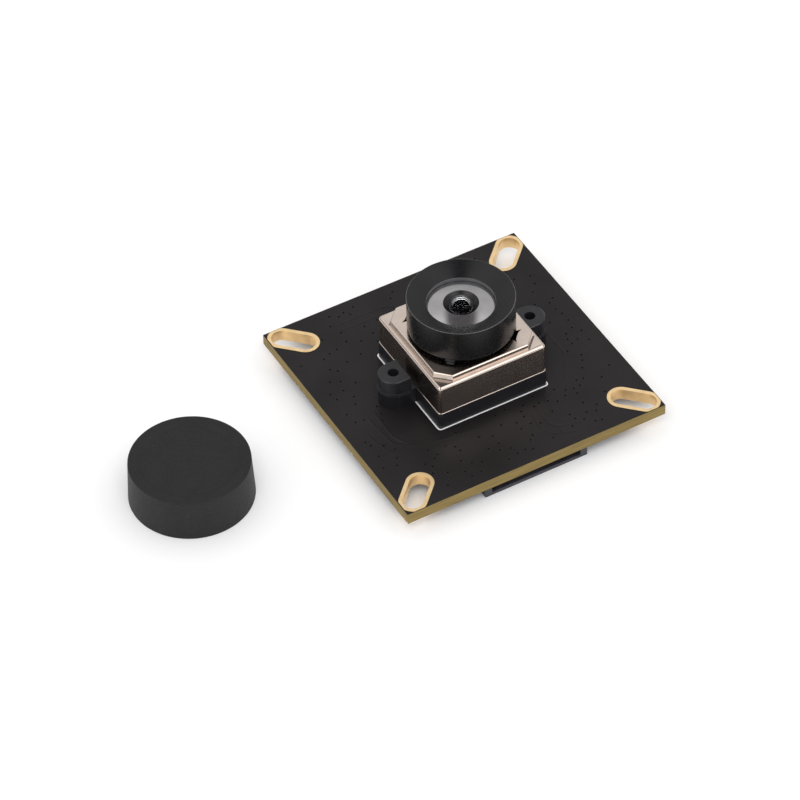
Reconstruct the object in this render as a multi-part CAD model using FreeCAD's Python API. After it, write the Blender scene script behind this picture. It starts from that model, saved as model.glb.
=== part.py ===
import FreeCAD, Part
import math
import os

V = FreeCAD.Vector

# Autofocus camera module: a square board that carries a screwed-on lens holder, a voice-coil focus
# motor, a small screw-in lens and a flat-cable connector, with the lens cap lying beside it.
# Millimetres. Origin: middle of the board's underside, where it seats on stand-offs.
# +Z runs up the optical axis towards the lens, and the cable leaves towards -Y.

# Board
board_side = 38.0
board_thickness = 1.6
slot_inset = 2.95
slot_length = 6.0
slot_width = 2.7
ring_margin = 0.5
plating = 0.05
ring_edge_inset = 0.1
peg_inset = 1.3
peg_radius = 0.5
peg_root = 0.5
peg_clearance = 0.05

# Lens holder, moulded in one with its two screw ears
holder_side = 16.0
holder_height = 2.5
holder_corner = 0.4
holder_wall = 1.8
holder_web = 0.7
ear_hole_outset = 2.15
ear_height = 4.6
ear_radius = 2.0
ear_foot_step = 0.06
ear_face_outset = 0.6
ear_edge_round = 0.12
pilot_radius = 0.72

# Screws, driven from below
screw_core_clearance = 0.02
screw_hole_play = 0.4
screw_short_of_top = 1.3
screw_point = 0.5
head_bearing = 0.9
head_height = 1.6
head_chamfer = 0.4
recess_width = 0.45
recess_span = 2.0
recess_depth = 0.8

# Image sensor and infrared filter
sensor_margin = 1.0
sensor_height = 1.1
cavity_ledge = 0.6
sensor_floor = 0.35
glass_ledge = 0.6
glass_thickness = 0.4
glass_rebate = 0.25
die_margin = 0.5
die_ratio = 0.8
die_thickness = 0.3
filter_margin = 0.7
filter_ledge = 0.7
filter_thickness = 0.3
seat_clearance = 0.05

# Focus motor
can_setback = 0.1
can_wall = 0.2
can_corner = 0.5
can_edge_round = 0.42
can_height = 4.5
plateau_rise = 0.8
plateau_step = 0.6
plateau_corner_cut = 1.8
plateau_slope = 0.3
mouth_clearance = 0.35
notch_depth = 1.0
notch_tip_depth = 0.25
notch_shoulder = 0.3
notch_half_neck = 0.85
notch_half_tip = 1.25
motor_base_height = 0.8
base_rim = 2.0
spring_thickness = 0.05
spring_arm_width = 0.2
spring_arm_inset = 0.85
spring_arm_turn = 58.0
spring_ring_width = 0.35
spring_pad_overlap = 0.062
carrier_wall = 0.48
carrier_neck_wall = 0.4
carrier_flange_height = 0.55
carrier_upper_flange = 0.4
carrier_neck_height = 0.4
thread_clearance = 0.02
coil_build = 0.45
motor_room = 1.7
spring_gap = 0.2
magnet_air_gap = 0.2
magnet_length = 4.25
magnet_chamfer = 0.9
terminal_place = 3.0
terminal_width = 0.7
terminal_thickness = 0.2
terminal_bury = 0.9

# Lens: threaded neck, wide head and a cone that leads in to the front lip
head_overhang = 1.0
head_above_can = 0.6
lens_head_height = 4.7
neck_above_spring = 0.65
rim_land = 0.25
cone_depth = 1.05
lip_overhang = 0.5
rim_round = 0.12
head_foot_chamfer = 0.25
neck_wall = 1.05
element_clearance = 0.05
lip_wall = 0.5

# Optical stack, from the lip down. A ratio is a surface's reach over its ball's radius.
front_flange = 0.8
front_dome_clearance = 0.05
front_dome_ratio = 0.22
ball_radius = 1.57
funnel_width = 0.74
funnel_drop = 0.61
front_air_gap = 0.1
front_spacer_land = 2.6
second_flange = 0.8
second_dome_margin = 0.2
second_dome_ratio = 0.45
stop_thickness = 0.1
stop_hole = 1.35
third_flange = 1.0
third_dome_margin = 0.4
third_dome_ratio = 0.48
rear_air_gap = 0.2943
rear_spacer_land = 2.1
rear_flange = 1.0
rear_dome_margin = 0.2
rear_dome_ratio = 0.433
retainer_thickness = 0.7
retainer_land = 1.35
retainer_slot = 0.7

# Flat-cable connector under the front edge, half-millimetre pitch
ffc_setback = 0.35
ffc_depth = 5.2
ffc_height = 1.7
ffc_pitch = 0.5
ffc_ways = 22
ffc_end_margin = 2.275
ffc_mouth_margin = 0.7
ffc_mouth_floor = 0.25
ffc_mouth_high = 0.4
ffc_mouth_depth = 3.6
slider_clearance = 0.05
slider_grip = 1.0
slider_grip_depth = 2.2
slider_bar_depth = 0.85
slider_bar_height = 0.4
slider_tongue = 0.22
slider_tongue_reach = 2.9
contact_thickness = 0.2
contact_beam = 0.12
contact_tail = 0.75
contact_tail_height = 0.15
anchor_length = 1.2
anchor_reach = 0.6
anchor_thickness = 0.15
anchor_bury = 0.5

# Parts soldered to the underside
regulator_size = (2.9, 1.6, 1.1)
driver_size = (2.0, 2.0, 0.75)
memory_size = (2.9, 2.4, 1.0)
oscillator_size = (3.2, 2.5, 0.8)
tantalum_size = (3.2, 1.6, 1.6)
ferrite_size = (1.6, 0.8, 0.8)
capacitor_size = (1.0, 0.5, 0.5)
resistor_size = (1.0, 0.5, 0.35)
lead_width = 0.4
lead_reach = 0.6
lead_thickness = 0.15
lead_pitch = 0.95
cap_end = 0.25
cap_end_step = 0.02
package_draft = 0.12
memory_pitch = 0.65
regulator_gap = 2.05
regulator_pitch = 5.0
regulator_offset = 5.4
driver_place = (9.6, 7.6)
memory_place = (9.4, -8.2)
oscillator_place = (-8.6, -8.4)
tantalum_inset = 3.8
tantalum_offset = 6.2
bead_inset = 7.4
bead_pitch = 3.6
capacitor_gap = 1.2
capacitor_pitch = 2.1
capacitor_side_pitch = 2.6
resistor_inset = 3.6
resistor_pitch = 1.9
resistor_offset = 5.2
resistor_row_gap = 2.3
resistor_row_pitch = 2.2

# Lens cap, soft rubber, open side down on the floor
cap_gap = 11.87
cap_offset = 1.33
cap_wall = 1.08
cap_taper = 0.29
cap_crown = 1.28
cap_bore_clearance = 0.05
cap_rim_width = 1.34
cap_recess_depth = 0.15
cap_edge_round = 0.45


def sagitta(ratio, reach):
    """Height of a spherical surface's middle over its rim; ratio is reach over ball radius."""
    return reach / ratio * (1 - math.sqrt(1 - ratio ** 2))


# Levels worked out from the sizes above
board_top = board_thickness
holder_top = board_top + holder_height
web_bottom = holder_top - holder_web
can_shelf = holder_top + can_height
can_top = can_shelf + plateau_rise
motor_base_top = holder_top + motor_base_height
lower_spring_top = motor_base_top + spring_thickness
shelf_underside = can_shelf - can_wall
upper_spring_top = shelf_underside - spring_gap
upper_spring_bottom = upper_spring_top - spring_thickness
coil_bottom = lower_spring_top + carrier_flange_height
coil_top = upper_spring_bottom - carrier_neck_height - carrier_upper_flange
head_bottom = can_top + head_above_can
head_top = head_bottom + lens_head_height
neck_bottom = lower_spring_top + neck_above_spring
lip_level = head_top - cone_depth
stack_top = lip_level - lip_wall
floor_level = -ffc_height

# Places and widths on the board and in the holder, worked out from the sizes above
slot_centre = board_side / 2 - slot_inset
peg_place = holder_side / 2 - peg_inset
ear_hole_place = holder_side / 2 + ear_hole_outset
ear_inner_face = holder_side / 2 + ear_face_outset
screw_core_radius = pilot_radius - screw_core_clearance
screw_hole_radius = screw_core_radius + screw_hole_play
head_radius = screw_hole_radius + head_bearing
sensor_side = holder_side - 2 * (holder_wall + sensor_margin)
glass_side = sensor_side - 2 * glass_ledge
sensor_cavity = glass_side - 2 * cavity_ledge
die_length = sensor_cavity - 2 * die_margin
die_width = die_length * die_ratio
filter_side = sensor_side - 2 * filter_margin
light_window = filter_side - 2 * filter_ledge

# Radii from the can inwards
can_side = holder_side - 2 * can_setback
can_half_inside = can_side / 2 - can_wall
motor_reach = can_half_inside - seat_clearance
neck_radius = can_half_inside - motor_room
carrier_bore = neck_radius + thread_clearance
drum_radius = carrier_bore + carrier_wall
carrier_flange_radius = drum_radius + coil_build
base_window_radius = can_half_inside - base_rim
spring_arm_radius = can_half_inside - spring_arm_inset
spring_pad_inner = (spring_arm_radius - spring_pad_overlap) / math.sqrt(2)
magnet_start = motor_reach - magnet_length
plateau_half = can_side / 2 - plateau_step
plateau_corner_sum = 2 * plateau_half - plateau_corner_cut
mouth_radius = neck_radius + mouth_clearance
notch_reach = mouth_radius + notch_depth
notch_tip_reach = notch_reach + notch_tip_depth

# Lens radii
head_outer_radius = neck_radius + head_overhang
cone_rim_radius = head_outer_radius - rim_land
lens_bore_radius = neck_radius - neck_wall
lip_radius = lens_bore_radius - lip_overhang
element_radius = lens_bore_radius - element_clearance
front_dome_reach = lip_radius - front_dome_clearance
front_spacer_hole = element_radius - front_spacer_land
second_dome_reach = front_spacer_hole - second_dome_margin
front_spacer_thickness = sagitta(second_dome_ratio, second_dome_reach) + front_air_gap
rear_spacer_hole = element_radius - rear_spacer_land
third_dome_reach = rear_spacer_hole - third_dome_margin
rear_dome_reach = rear_spacer_hole - rear_dome_margin
rear_spacer_thickness = (sagitta(third_dome_ratio, third_dome_reach)
                         + sagitta(rear_dome_ratio, rear_dome_reach) + rear_air_gap)
retainer_hole = lens_bore_radius - retainer_land

# Connector and cap
ffc_front = board_side / 2 - ffc_setback
ffc_back = ffc_front - ffc_depth
ffc_contact_half = (ffc_ways - 1) * ffc_pitch / 2
ffc_width = 2 * (ffc_contact_half + ffc_end_margin)
ffc_mouth_half = ffc_contact_half + ffc_mouth_margin
ffc_mouth_low = ffc_height - ffc_mouth_floor
cap_bore_radius = head_outer_radius + cap_bore_clearance
cap_foot_radius = cap_bore_radius + cap_wall
cap_top_radius = cap_foot_radius - cap_taper
cap_recess_radius = cap_top_radius - cap_rim_width
cap_height = lens_head_height + cap_crown
cap_x = -(board_side / 2 + cap_gap + cap_foot_radius)


def box(x0, y0, z0, x1, y1, z1):
    """Box between two corners."""
    return Part.makeBox(x1 - x0, y1 - y0, z1 - z0, V(x0, y0, z0))


def centred_box(side_x, side_y, z0, z1, x=0.0, y=0.0):
    """Box with its footprint centred on (x, y)."""
    return box(x - side_x / 2, y - side_y / 2, z0, x + side_x / 2, y + side_y / 2, z1)


def cylinder(radius, z0, z1, x=0.0, y=0.0):
    """Upright cylinder between two levels."""
    return Part.makeCylinder(radius, z1 - z0, V(x, y, z0))


def edges_where(shape, test):
    """Edges whose middle point passes the test."""
    chosen = []
    for edge in shape.Edges:
        middle = edge.valueAt((edge.FirstParameter + edge.LastParameter) / 2)
        if test(middle):
            chosen.append(edge)
    return chosen


def rounded_block(side_x, side_y, z0, z1, radius):
    """Upright block with rounded vertical corners."""
    block = centred_box(side_x, side_y, z0, z1)
    middle = (z0 + z1) / 2
    corners = edges_where(block, lambda p: abs(p.z - middle) < 1e-6)
    return block.makeFillet(radius, corners)


def face_from(points):
    """Flat face inside a closed run of straight edges."""
    return Part.Face(Part.makePolygon(points + [points[0]]))


def revolve(points):
    """Turns a closed (radius, level) profile once round the optical axis."""
    profile = face_from([V(r, 0, z) for r, z in points])
    return profile.revolve(V(0, 0, 0), V(0, 0, 1), 360)


def revolve_edges(edges):
    """Turns a closed profile of lines and arcs once round the optical axis."""
    profile = Part.Face(Part.Wire(Part.__sortEdges__(edges)))
    return profile.revolve(V(0, 0, 0), V(0, 0, 1), 360)


def line(a, b):
    """Straight profile edge between two (radius, level) points."""
    return Part.LineSegment(V(a[0], 0, a[1]), V(b[0], 0, b[1])).toShape()


def cap_edge(ratio, reach, base, bulge):
    """Arc of a spherical surface from its rim to the axis, and the level of its middle."""
    sphere = reach / ratio
    apex = base + bulge * sagitta(ratio, reach)
    half_reach = reach / 2
    half_drop = sphere - math.sqrt(sphere ** 2 - half_reach ** 2)
    arc = Part.Arc(V(reach, 0, base), V(half_reach, 0, apex - bulge * half_drop), V(0, 0, apex))
    return arc.toShape(), apex


def element(top, flange, front=None, rear=None):
    """Lens element: a flat flange with one spherical surface, in front or behind.

    front and rear are (ratio, reach, bulge), where bulge is +1 up and -1 down."""
    bottom = top - flange
    edges = [line((element_radius, bottom), (element_radius, top))]
    top_start, top_apex = (0.0, top), top
    if front:
        arc, top_apex = cap_edge(front[0], front[1], top, front[2])
        edges.append(arc)
        top_start = (front[1], top)
    edges.append(line((element_radius, top), top_start))
    bottom_start, bottom_apex = (0.0, bottom), bottom
    if rear:
        arc, bottom_apex = cap_edge(rear[0], rear[1], bottom, rear[2])
        edges.append(arc)
        bottom_start = (rear[1], bottom)
    edges.append(line((element_radius, bottom), bottom_start))
    edges.append(line((0.0, bottom_apex), (0.0, top_apex)))
    return revolve_edges(edges)


def ring(inner, outer, z0, z1):
    """Flat ring round the optical axis."""
    return cylinder(outer, z0, z1).cut(cylinder(inner, z0, z1))


def slot_body(length, width, z0, z1, x, y):
    """Round-ended slot that points at the board's middle."""
    straight = length - width
    middle = box(-straight / 2, -width / 2, z0, straight / 2, width / 2, z1)
    ends = [cylinder(width / 2, z0, z1, end * straight / 2) for end in (-1, 1)]
    body = middle.fuse(ends).removeSplitter()
    body.rotate(V(0, 0, 0), V(0, 0, 1), math.degrees(math.atan2(y, x)))
    body.translate(V(x, y, 0))
    return body


def slot_places():
    """Middles of the four mounting slots."""
    return [(sx * slot_centre, sy * slot_centre) for sx in (-1, 1) for sy in (-1, 1)]


def peg_places():
    """The holder's two locating pegs, on one diagonal."""
    return [(peg_place, peg_place), (-peg_place, -peg_place)]


def make_board():
    """Square board with slots for fixing, screw holes and peg holes."""
    board = centred_box(board_side, board_side, 0, board_thickness)
    for x, y in slot_places():
        length = slot_length + 2 * plating
        width = slot_width + 2 * plating
        board = board.cut(slot_body(length, width, -1, board_thickness + 1, x, y))
    for side in (-1, 1):
        x = side * ear_hole_place
        board = board.cut(cylinder(screw_hole_radius, -1, board_thickness + 1, x))
    for x, y in peg_places():
        board = board.cut(cylinder(peg_radius + peg_clearance, -1, board_thickness + 1, x, y))
    return board


def make_slot_ring(x, y):
    """Plated lining of one slot: a ring on each face, joined through the slot."""
    z0 = -plating
    z1 = board_thickness + plating
    outer = slot_body(slot_length + 2 * ring_margin, slot_width + 2 * ring_margin, z0, z1, x, y)
    inside_edge = board_side - 2 * ring_edge_inset
    outer = outer.common(centred_box(inside_edge, inside_edge, z0, z1))
    lining = slot_body(slot_length + 2 * plating, slot_width + 2 * plating, z0, z1, x, y)
    slab = centred_box(board_side, board_side, 0, board_thickness).cut(lining)
    return outer.cut(slab).cut(slot_body(slot_length, slot_width, z0 - 1, z1 + 1, x, y))


def ear_plan(radius, z0, z1):
    """One screw ear on the +X side: round outside, flat towards the motor can."""
    block = box(ear_inner_face, -radius, z0, ear_hole_place, radius, z1)
    return block.fuse(cylinder(radius, z0, z1, ear_hole_place)).removeSplitter()


def make_ear():
    """Screw ear with a fine step where the two halves of the mould met."""
    foot = ear_plan(ear_radius + ear_foot_step, board_top, holder_top - ear_foot_step)
    post = ear_plan(ear_radius, board_top, board_top + ear_height)
    top_edges = edges_where(post, lambda p: p.z > board_top + ear_height - 1e-6)
    post = post.makeChamfer(ear_edge_round, top_edges)
    root = box(holder_side / 2 - holder_wall / 2, -ear_radius, board_top,
               ear_inner_face + ear_radius / 2, ear_radius, holder_top)
    return post.fuse([foot, root]).removeSplitter()


def make_holder():
    """Base frame over the sensor, with a web for the filter, two ears and two pegs."""
    frame = rounded_block(holder_side, holder_side, board_top, holder_top, holder_corner)
    room = holder_side - 2 * holder_wall
    frame = frame.cut(centred_box(room, room, board_top - 1, web_bottom))
    frame = frame.cut(centred_box(light_window, light_window, web_bottom - 1, holder_top + 1))
    pocket = filter_side + 2 * seat_clearance
    pocket_floor = holder_top - filter_thickness - seat_clearance
    frame = frame.cut(centred_box(pocket, pocket, pocket_floor, holder_top + 1))
    ear = make_ear()
    frame = frame.fuse([ear, ear.mirror(V(0, 0, 0), V(1, 0, 0))])
    frame = frame.fuse([cylinder(peg_radius, 0, board_top + peg_root, x, y) for x, y in peg_places()])
    for side in (-1, 1):
        x = side * ear_hole_place
        frame = frame.cut(cylinder(pilot_radius, board_top - 1, board_top + ear_height + 1, x))
    for side in (-1, 1):
        frame = frame.cut(terminal_blank(side))
    return frame.removeSplitter()


def make_screw(x):
    """Self-tapping screw from below: chamfered head, cross recess, pointed end."""
    core = screw_core_radius
    tip = board_top + ear_height - screw_short_of_top
    screw = revolve([
        (0, tip), (core / 3, tip), (core, tip - screw_point), (core, 0), (head_radius, 0),
        (head_radius, head_chamfer - head_height), (head_radius - head_chamfer, -head_height),
        (0, -head_height),
    ])
    recess_top = -head_height + recess_depth
    for size_x, size_y in ((recess_span, recess_width), (recess_width, recess_span)):
        screw = screw.cut(centred_box(size_x, size_y, -head_height - 1, recess_top))
    screw.translate(V(x, 0, 0))
    return screw


def make_sensor_package():
    """Sensor body with a stepped well for the die and its cover glass."""
    top = board_top + sensor_height
    body = centred_box(sensor_side, sensor_side, board_top, top)
    rebate = glass_side + 2 * seat_clearance
    body = body.cut(centred_box(rebate, rebate, top - glass_rebate, top + 1))
    return body.cut(centred_box(sensor_cavity, sensor_cavity, board_top + sensor_floor, top))


def make_sensor_die():
    """Silicon die on the floor of the package."""
    floor = board_top + sensor_floor
    return centred_box(die_length, die_width, floor, floor + die_thickness)


def make_sensor_glass():
    """Cover glass in the package's rebate."""
    seat = board_top + sensor_height - glass_rebate
    return centred_box(glass_side, glass_side, seat, seat + glass_thickness)


def make_ir_filter():
    """Infrared filter in the holder's pocket."""
    seat = holder_top - filter_thickness - seat_clearance
    return centred_box(filter_side, filter_side, seat, seat + filter_thickness)


def octagon(half, corner_sum, z):
    """Closed eight-sided wire; corner_sum is |x| + |y| along the cut corners."""
    short = corner_sum - half
    points = []
    for sx, sy in ((1, 1), (-1, 1), (-1, -1), (1, -1)):
        pair = [V(sx * half, sy * short, z), V(sx * short, sy * half, z)]
        if sx * sy < 0:
            pair.reverse()
        points += pair
    return Part.makePolygon(points + [points[0]])


def plateau(inset, z0, z1):
    """Raised eight-sided top with sloping edges, inset all round by one wall."""
    cut = inset * math.sqrt(2)
    foot = octagon(plateau_half + plateau_slope - inset,
                   plateau_corner_sum + plateau_slope * math.sqrt(2) - cut, z0)
    crown = octagon(plateau_half - inset, plateau_corner_sum - cut, z1)
    return Part.makeLoft([foot, crown], True, True)


def notch(angle, z0, z1):
    """Dovetail notch in the can's mouth, widest at its outer end."""
    points = [V(mouth_radius - 1, -notch_half_neck, z0),
              V(notch_reach - notch_shoulder, -notch_half_neck, z0),
              V(notch_tip_reach, -notch_half_tip, z0), V(notch_reach, -notch_half_neck * 0.7, z0),
              V(notch_reach, notch_half_neck * 0.7, z0), V(notch_tip_reach, notch_half_tip, z0),
              V(notch_reach - notch_shoulder, notch_half_neck, z0),
              V(mouth_radius - 1, notch_half_neck, z0)]
    body = face_from(points).extrude(V(0, 0, z1 - z0))
    body.rotate(V(0, 0, 0), V(0, 0, 1), angle)
    return body


def make_can():
    """Drawn can: rounded square wall, shelf, sloped step and raised eight-sided top."""
    outer = rounded_block(can_side, can_side, holder_top, can_shelf, can_corner)
    rim = edges_where(outer, lambda p: p.z > can_shelf - 1e-6)
    outer = outer.makeFillet(can_edge_round, rim)
    outer = outer.fuse(plateau(0, can_shelf - can_wall / 2, can_top))
    inside = rounded_block(2 * can_half_inside, 2 * can_half_inside, holder_top - 1,
                           shelf_underside, can_corner - can_wall)
    inside = inside.fuse(plateau(can_wall, shelf_underside - can_wall / 2, can_top - can_wall))
    can = outer.cut(inside)
    can = can.cut(cylinder(mouth_radius, shelf_underside, can_top + 1))
    for angle in (45, 135, 225, 315):
        can = can.cut(notch(angle, shelf_underside, can_top + 1))
    for side in (-1, 1):
        can = can.cut(terminal_exit(side))
    return can


def terminal_blank(side):
    """Bent strip: buried leg in the motor base, then down the back to the board."""
    x = side * terminal_place
    half = terminal_width / 2
    back = max(holder_side, can_side) / 2
    leg_top = holder_top + terminal_thickness * 2
    leg_bottom = leg_top - terminal_thickness
    start = can_half_inside - terminal_bury
    leg = box(x - half, start, leg_bottom, x + half, back + terminal_thickness, leg_top)
    drop = box(x - half, back, board_top, x + half, back + terminal_thickness, leg_top)
    return leg.fuse(drop).removeSplitter()


def terminal_exit(side):
    """Notch in the can's lower edge that lets a terminal out."""
    x = side * terminal_place
    half = terminal_width / 2 + can_wall
    top = holder_top + 3 * terminal_thickness
    return box(x - half, can_half_inside - can_wall, holder_top - 1, x + half, can_side, top)


def make_motor_base():
    """Moulded floor of the motor, with a window for the light and slits for the terminals."""
    side = 2 * motor_reach
    base = rounded_block(side, side, holder_top, motor_base_top, can_corner - can_wall)
    base = base.cut(cylinder(base_window_radius, holder_top - 1, motor_base_top + 1))
    for turn in (-1, 1):
        base = base.cut(terminal_blank(turn))
    return base


def spring_outline(z0):
    """Flat leaf spring: ring on the carrier, four arms and four clamped corner pads."""
    z1 = z0 + spring_thickness
    inner = carrier_bore
    sheet = ring(inner, inner + spring_ring_width, z0, z1)
    reach = motor_reach
    arm_inner = spring_arm_radius - spring_arm_width / 2
    arm_outer = spring_arm_radius + spring_arm_width / 2
    arm_band = ring(arm_inner, arm_outer, z0, z1)
    pad_clear = cylinder(arm_inner, z0, z1)
    window = rounded_block(2 * reach, 2 * reach, z0 - 1, z1 + 1, can_corner - can_wall)
    parts = []
    for quarter in range(4):
        pad = box(spring_pad_inner, spring_pad_inner, z0, reach, reach, z1).cut(pad_clear)
        pad = pad.common(window)
        wedge = Part.makeCylinder(arm_outer + 1, z1 - z0, V(0, 0, z0), V(0, 0, 1), spring_arm_turn)
        wedge.rotate(V(0, 0, 0), V(0, 0, 1), 45)
        arm = arm_band.common(wedge)
        bridge = box(inner + spring_ring_width / 2, -spring_arm_width, z0, spring_arm_radius,
                     spring_arm_width, z1)
        bridge.rotate(V(0, 0, 0), V(0, 0, 1), 45 + spring_arm_turn)
        for piece in (pad, arm, bridge):
            piece.rotate(V(0, 0, 0), V(0, 0, 1), 90 * quarter)
            parts.append(piece)
    return sheet.fuse(parts).removeSplitter()


def make_carrier():
    """Threaded ring that holds the lens, with two flanges that keep the coil."""
    neck = carrier_bore + carrier_neck_wall
    low = lower_spring_top
    flange_top = coil_top + carrier_upper_flange
    return revolve([
        (carrier_bore, low), (carrier_flange_radius, low), (carrier_flange_radius, coil_bottom),
        (drum_radius, coil_bottom), (drum_radius, coil_top), (carrier_flange_radius, coil_top),
        (carrier_flange_radius, flange_top), (neck, flange_top), (neck, upper_spring_bottom),
        (carrier_bore, upper_spring_bottom),
    ])


def make_coil():
    """Round winding between the carrier's flanges."""
    return ring(drum_radius, carrier_flange_radius, coil_bottom, coil_top)


def make_magnet(quarter):
    """Corner magnet: flat against two walls of the can, hollowed to the coil's curve."""
    reach = motor_reach
    block = box(magnet_start, magnet_start, lower_spring_top, reach, reach, upper_spring_bottom)
    corner = edges_where(block, lambda p: p.x > reach - 1e-6 and p.y > reach - 1e-6)
    block = block.makeChamfer(magnet_chamfer, corner)
    hollow = carrier_flange_radius + magnet_air_gap
    block = block.cut(cylinder(hollow, lower_spring_top - 1, upper_spring_bottom + 1))
    block.rotate(V(0, 0, 0), V(0, 0, 1), 90 * quarter)
    return block


def make_top_spacer():
    """Frame that presses the upper spring down from under the can's shelf."""
    side = 2 * motor_reach
    frame = rounded_block(side, side, upper_spring_top, shelf_underside, can_corner - can_wall)
    opening = carrier_flange_radius
    return frame.cut(cylinder(opening, upper_spring_top - 1, shelf_underside + 1))


def make_barrel():
    """Lens barrel: threaded neck, head with a cone to the lip, and one bore for the stack."""
    return revolve([
        (lens_bore_radius, neck_bottom), (neck_radius, neck_bottom), (neck_radius, head_bottom),
        (head_outer_radius - head_foot_chamfer, head_bottom),
        (head_outer_radius, head_bottom + head_foot_chamfer),
        (head_outer_radius, head_top - rim_round), (head_outer_radius - rim_round, head_top),
        (cone_rim_radius, head_top), (lip_radius, lip_level), (lip_radius, stack_top),
        (lens_bore_radius, stack_top),
    ])


def stack_levels():
    """Top level of each piece in the optical stack, from the lip down."""
    sizes = [("front_element", front_flange), ("front_spacer", front_spacer_thickness),
             ("second_element", second_flange), ("aperture_stop", stop_thickness),
             ("third_element", third_flange), ("rear_spacer", rear_spacer_thickness),
             ("rear_element", rear_flange), ("rear_retainer", retainer_thickness)]
    levels = {}
    level = stack_top
    for name, size in sizes:
        levels[name] = level
        level -= size
    return levels


def make_front_element(top):
    """Front glass: a wide domed collar, a narrow funnel in it and a half-ball in the middle."""
    bottom = top - front_flange
    dome = front_dome_reach / front_dome_ratio
    dome_middle = top + sagitta(front_dome_ratio, front_dome_reach) - dome
    collar = ball_radius + funnel_width
    halfway = (collar + front_dome_reach) / 2
    collar_level = dome_middle + math.sqrt(dome ** 2 - collar ** 2)
    halfway_level = dome_middle + math.sqrt(dome ** 2 - halfway ** 2)
    seat = collar_level - funnel_drop
    slant = ball_radius / math.sqrt(2)
    edges = [
        line((0, bottom), (element_radius, bottom)),
        line((element_radius, bottom), (element_radius, top)),
        line((element_radius, top), (front_dome_reach, top)),
        Part.Arc(V(front_dome_reach, 0, top), V(halfway, 0, halfway_level),
                 V(collar, 0, collar_level)).toShape(),
        line((collar, collar_level), (ball_radius, seat)),
        Part.Arc(V(ball_radius, 0, seat), V(slant, 0, seat + slant),
                 V(0, 0, seat + ball_radius)).toShape(),
        line((0, seat + ball_radius), (0, bottom)),
    ]
    return revolve_edges(edges)


def make_retainer(top):
    """Threaded ring that closes the stack, slotted for a spanner."""
    bottom = top - retainer_thickness
    body = ring(retainer_hole, lens_bore_radius - thread_clearance, bottom, top)
    span = 2 * lens_bore_radius
    return body.cut(centred_box(span, retainer_slot, bottom - 1, bottom + retainer_thickness / 2))


def optical_stack():
    """Lens elements, spacers, stop and retainer."""
    top = stack_levels()
    spacer = ring(front_spacer_hole, element_radius,
                  top["front_spacer"] - front_spacer_thickness, top["front_spacer"])
    stop = ring(stop_hole, element_radius,
                top["aperture_stop"] - stop_thickness, top["aperture_stop"])
    rear_ring = ring(rear_spacer_hole, element_radius,
                     top["rear_spacer"] - rear_spacer_thickness, top["rear_spacer"])
    return {
        "front_element": make_front_element(top["front_element"]),
        "front_spacer": spacer,
        "second_element": element(top["second_element"], second_flange,
                                  (second_dome_ratio, second_dome_reach, 1)),
        "aperture_stop": stop,
        "third_element": element(top["third_element"], third_flange, None,
                                 (third_dome_ratio, third_dome_reach, -1)),
        "rear_spacer": rear_ring,
        "rear_element": element(top["rear_element"], rear_flange,
                                (rear_dome_ratio, rear_dome_reach, 1)),
        "rear_retainer": make_retainer(top["rear_retainer"]),
    }


def contact_places():
    """X of each contact."""
    return [-ffc_contact_half + way * ffc_pitch for way in range(ffc_ways)]


def make_contact(x):
    """Contact: spring beam along the mouth's roof, drop behind it and a solder tail."""
    back = -ffc_back
    mouth_end = -ffc_front + slider_bar_depth + ffc_mouth_depth
    roof = -ffc_mouth_high
    y_beam = mouth_end - ffc_mouth_depth * 0.75
    half = contact_thickness / 2
    profile = face_from([
        V(x - half, y_beam, roof), V(x - half, y_beam, roof - contact_beam),
        V(x - half, mouth_end + contact_thickness, roof - contact_beam),
        V(x - half, mouth_end + contact_thickness, -contact_tail_height),
        V(x - half, back + contact_tail, -contact_tail_height),
        V(x - half, back + contact_tail, 0), V(x - half, mouth_end, 0),
        V(x - half, mouth_end, roof),
    ])
    return profile.extrude(V(contact_thickness, 0, 0))


def make_ffc_housing(contacts):
    """Connector housing: wide rear block, narrower front with the cable mouth."""
    front = -ffc_front + slider_bar_depth + slider_clearance
    back = -ffc_back
    half = ffc_width / 2
    narrow = half - slider_grip - slider_clearance
    shoulder = -ffc_front + slider_grip_depth + slider_clearance
    body = box(-narrow, front, -ffc_height, narrow, back, 0)
    body = body.fuse(box(-half, shoulder, -ffc_height, half, back, 0)).removeSplitter()
    mouth_end = -ffc_front + slider_bar_depth + ffc_mouth_depth
    mouth = box(-ffc_mouth_half, front - 1, -ffc_mouth_low, ffc_mouth_half, mouth_end,
                -ffc_mouth_high)
    body = body.cut(mouth)
    body = body.cut(Part.makeCompound(contacts))
    for side in (-1, 1):
        body = body.cut(make_ffc_anchor(side))
    return body


def make_ffc_slider():
    """Lock slider: full-height grips at both ends, a low bar and a thin wedge tongue."""
    front = -ffc_front
    half = ffc_width / 2
    grip_low = -ffc_height
    grip_high = -slider_clearance * 2
    bar_top = -ffc_height + slider_bar_height
    bar_back = front + slider_bar_depth
    bar = box(-half, front, grip_low, half, bar_back, bar_top)
    tongue_half = ffc_mouth_half - slider_clearance
    tongue_low = -ffc_mouth_low + slider_clearance
    tongue = box(-tongue_half, front, tongue_low, tongue_half, bar_back + slider_tongue_reach,
                 tongue_low + slider_tongue)
    grips = []
    for side in (-1, 1):
        inner = side * (half - slider_grip)
        outer = side * half
        grips.append(box(min(inner, outer), front, grip_low, max(inner, outer),
                         front + slider_grip_depth, grip_high))
    return bar.fuse([tongue] + grips).removeSplitter()


def make_ffc_anchor(side):
    """Solder tab that holds one end of the connector to the board."""
    outer = side * (ffc_width / 2 + anchor_reach)
    inner = side * (ffc_width / 2 - anchor_bury)
    back = -ffc_back - contact_tail
    return box(min(inner, outer), back - anchor_length, -anchor_thickness,
               max(inner, outer), back, 0)


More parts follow.
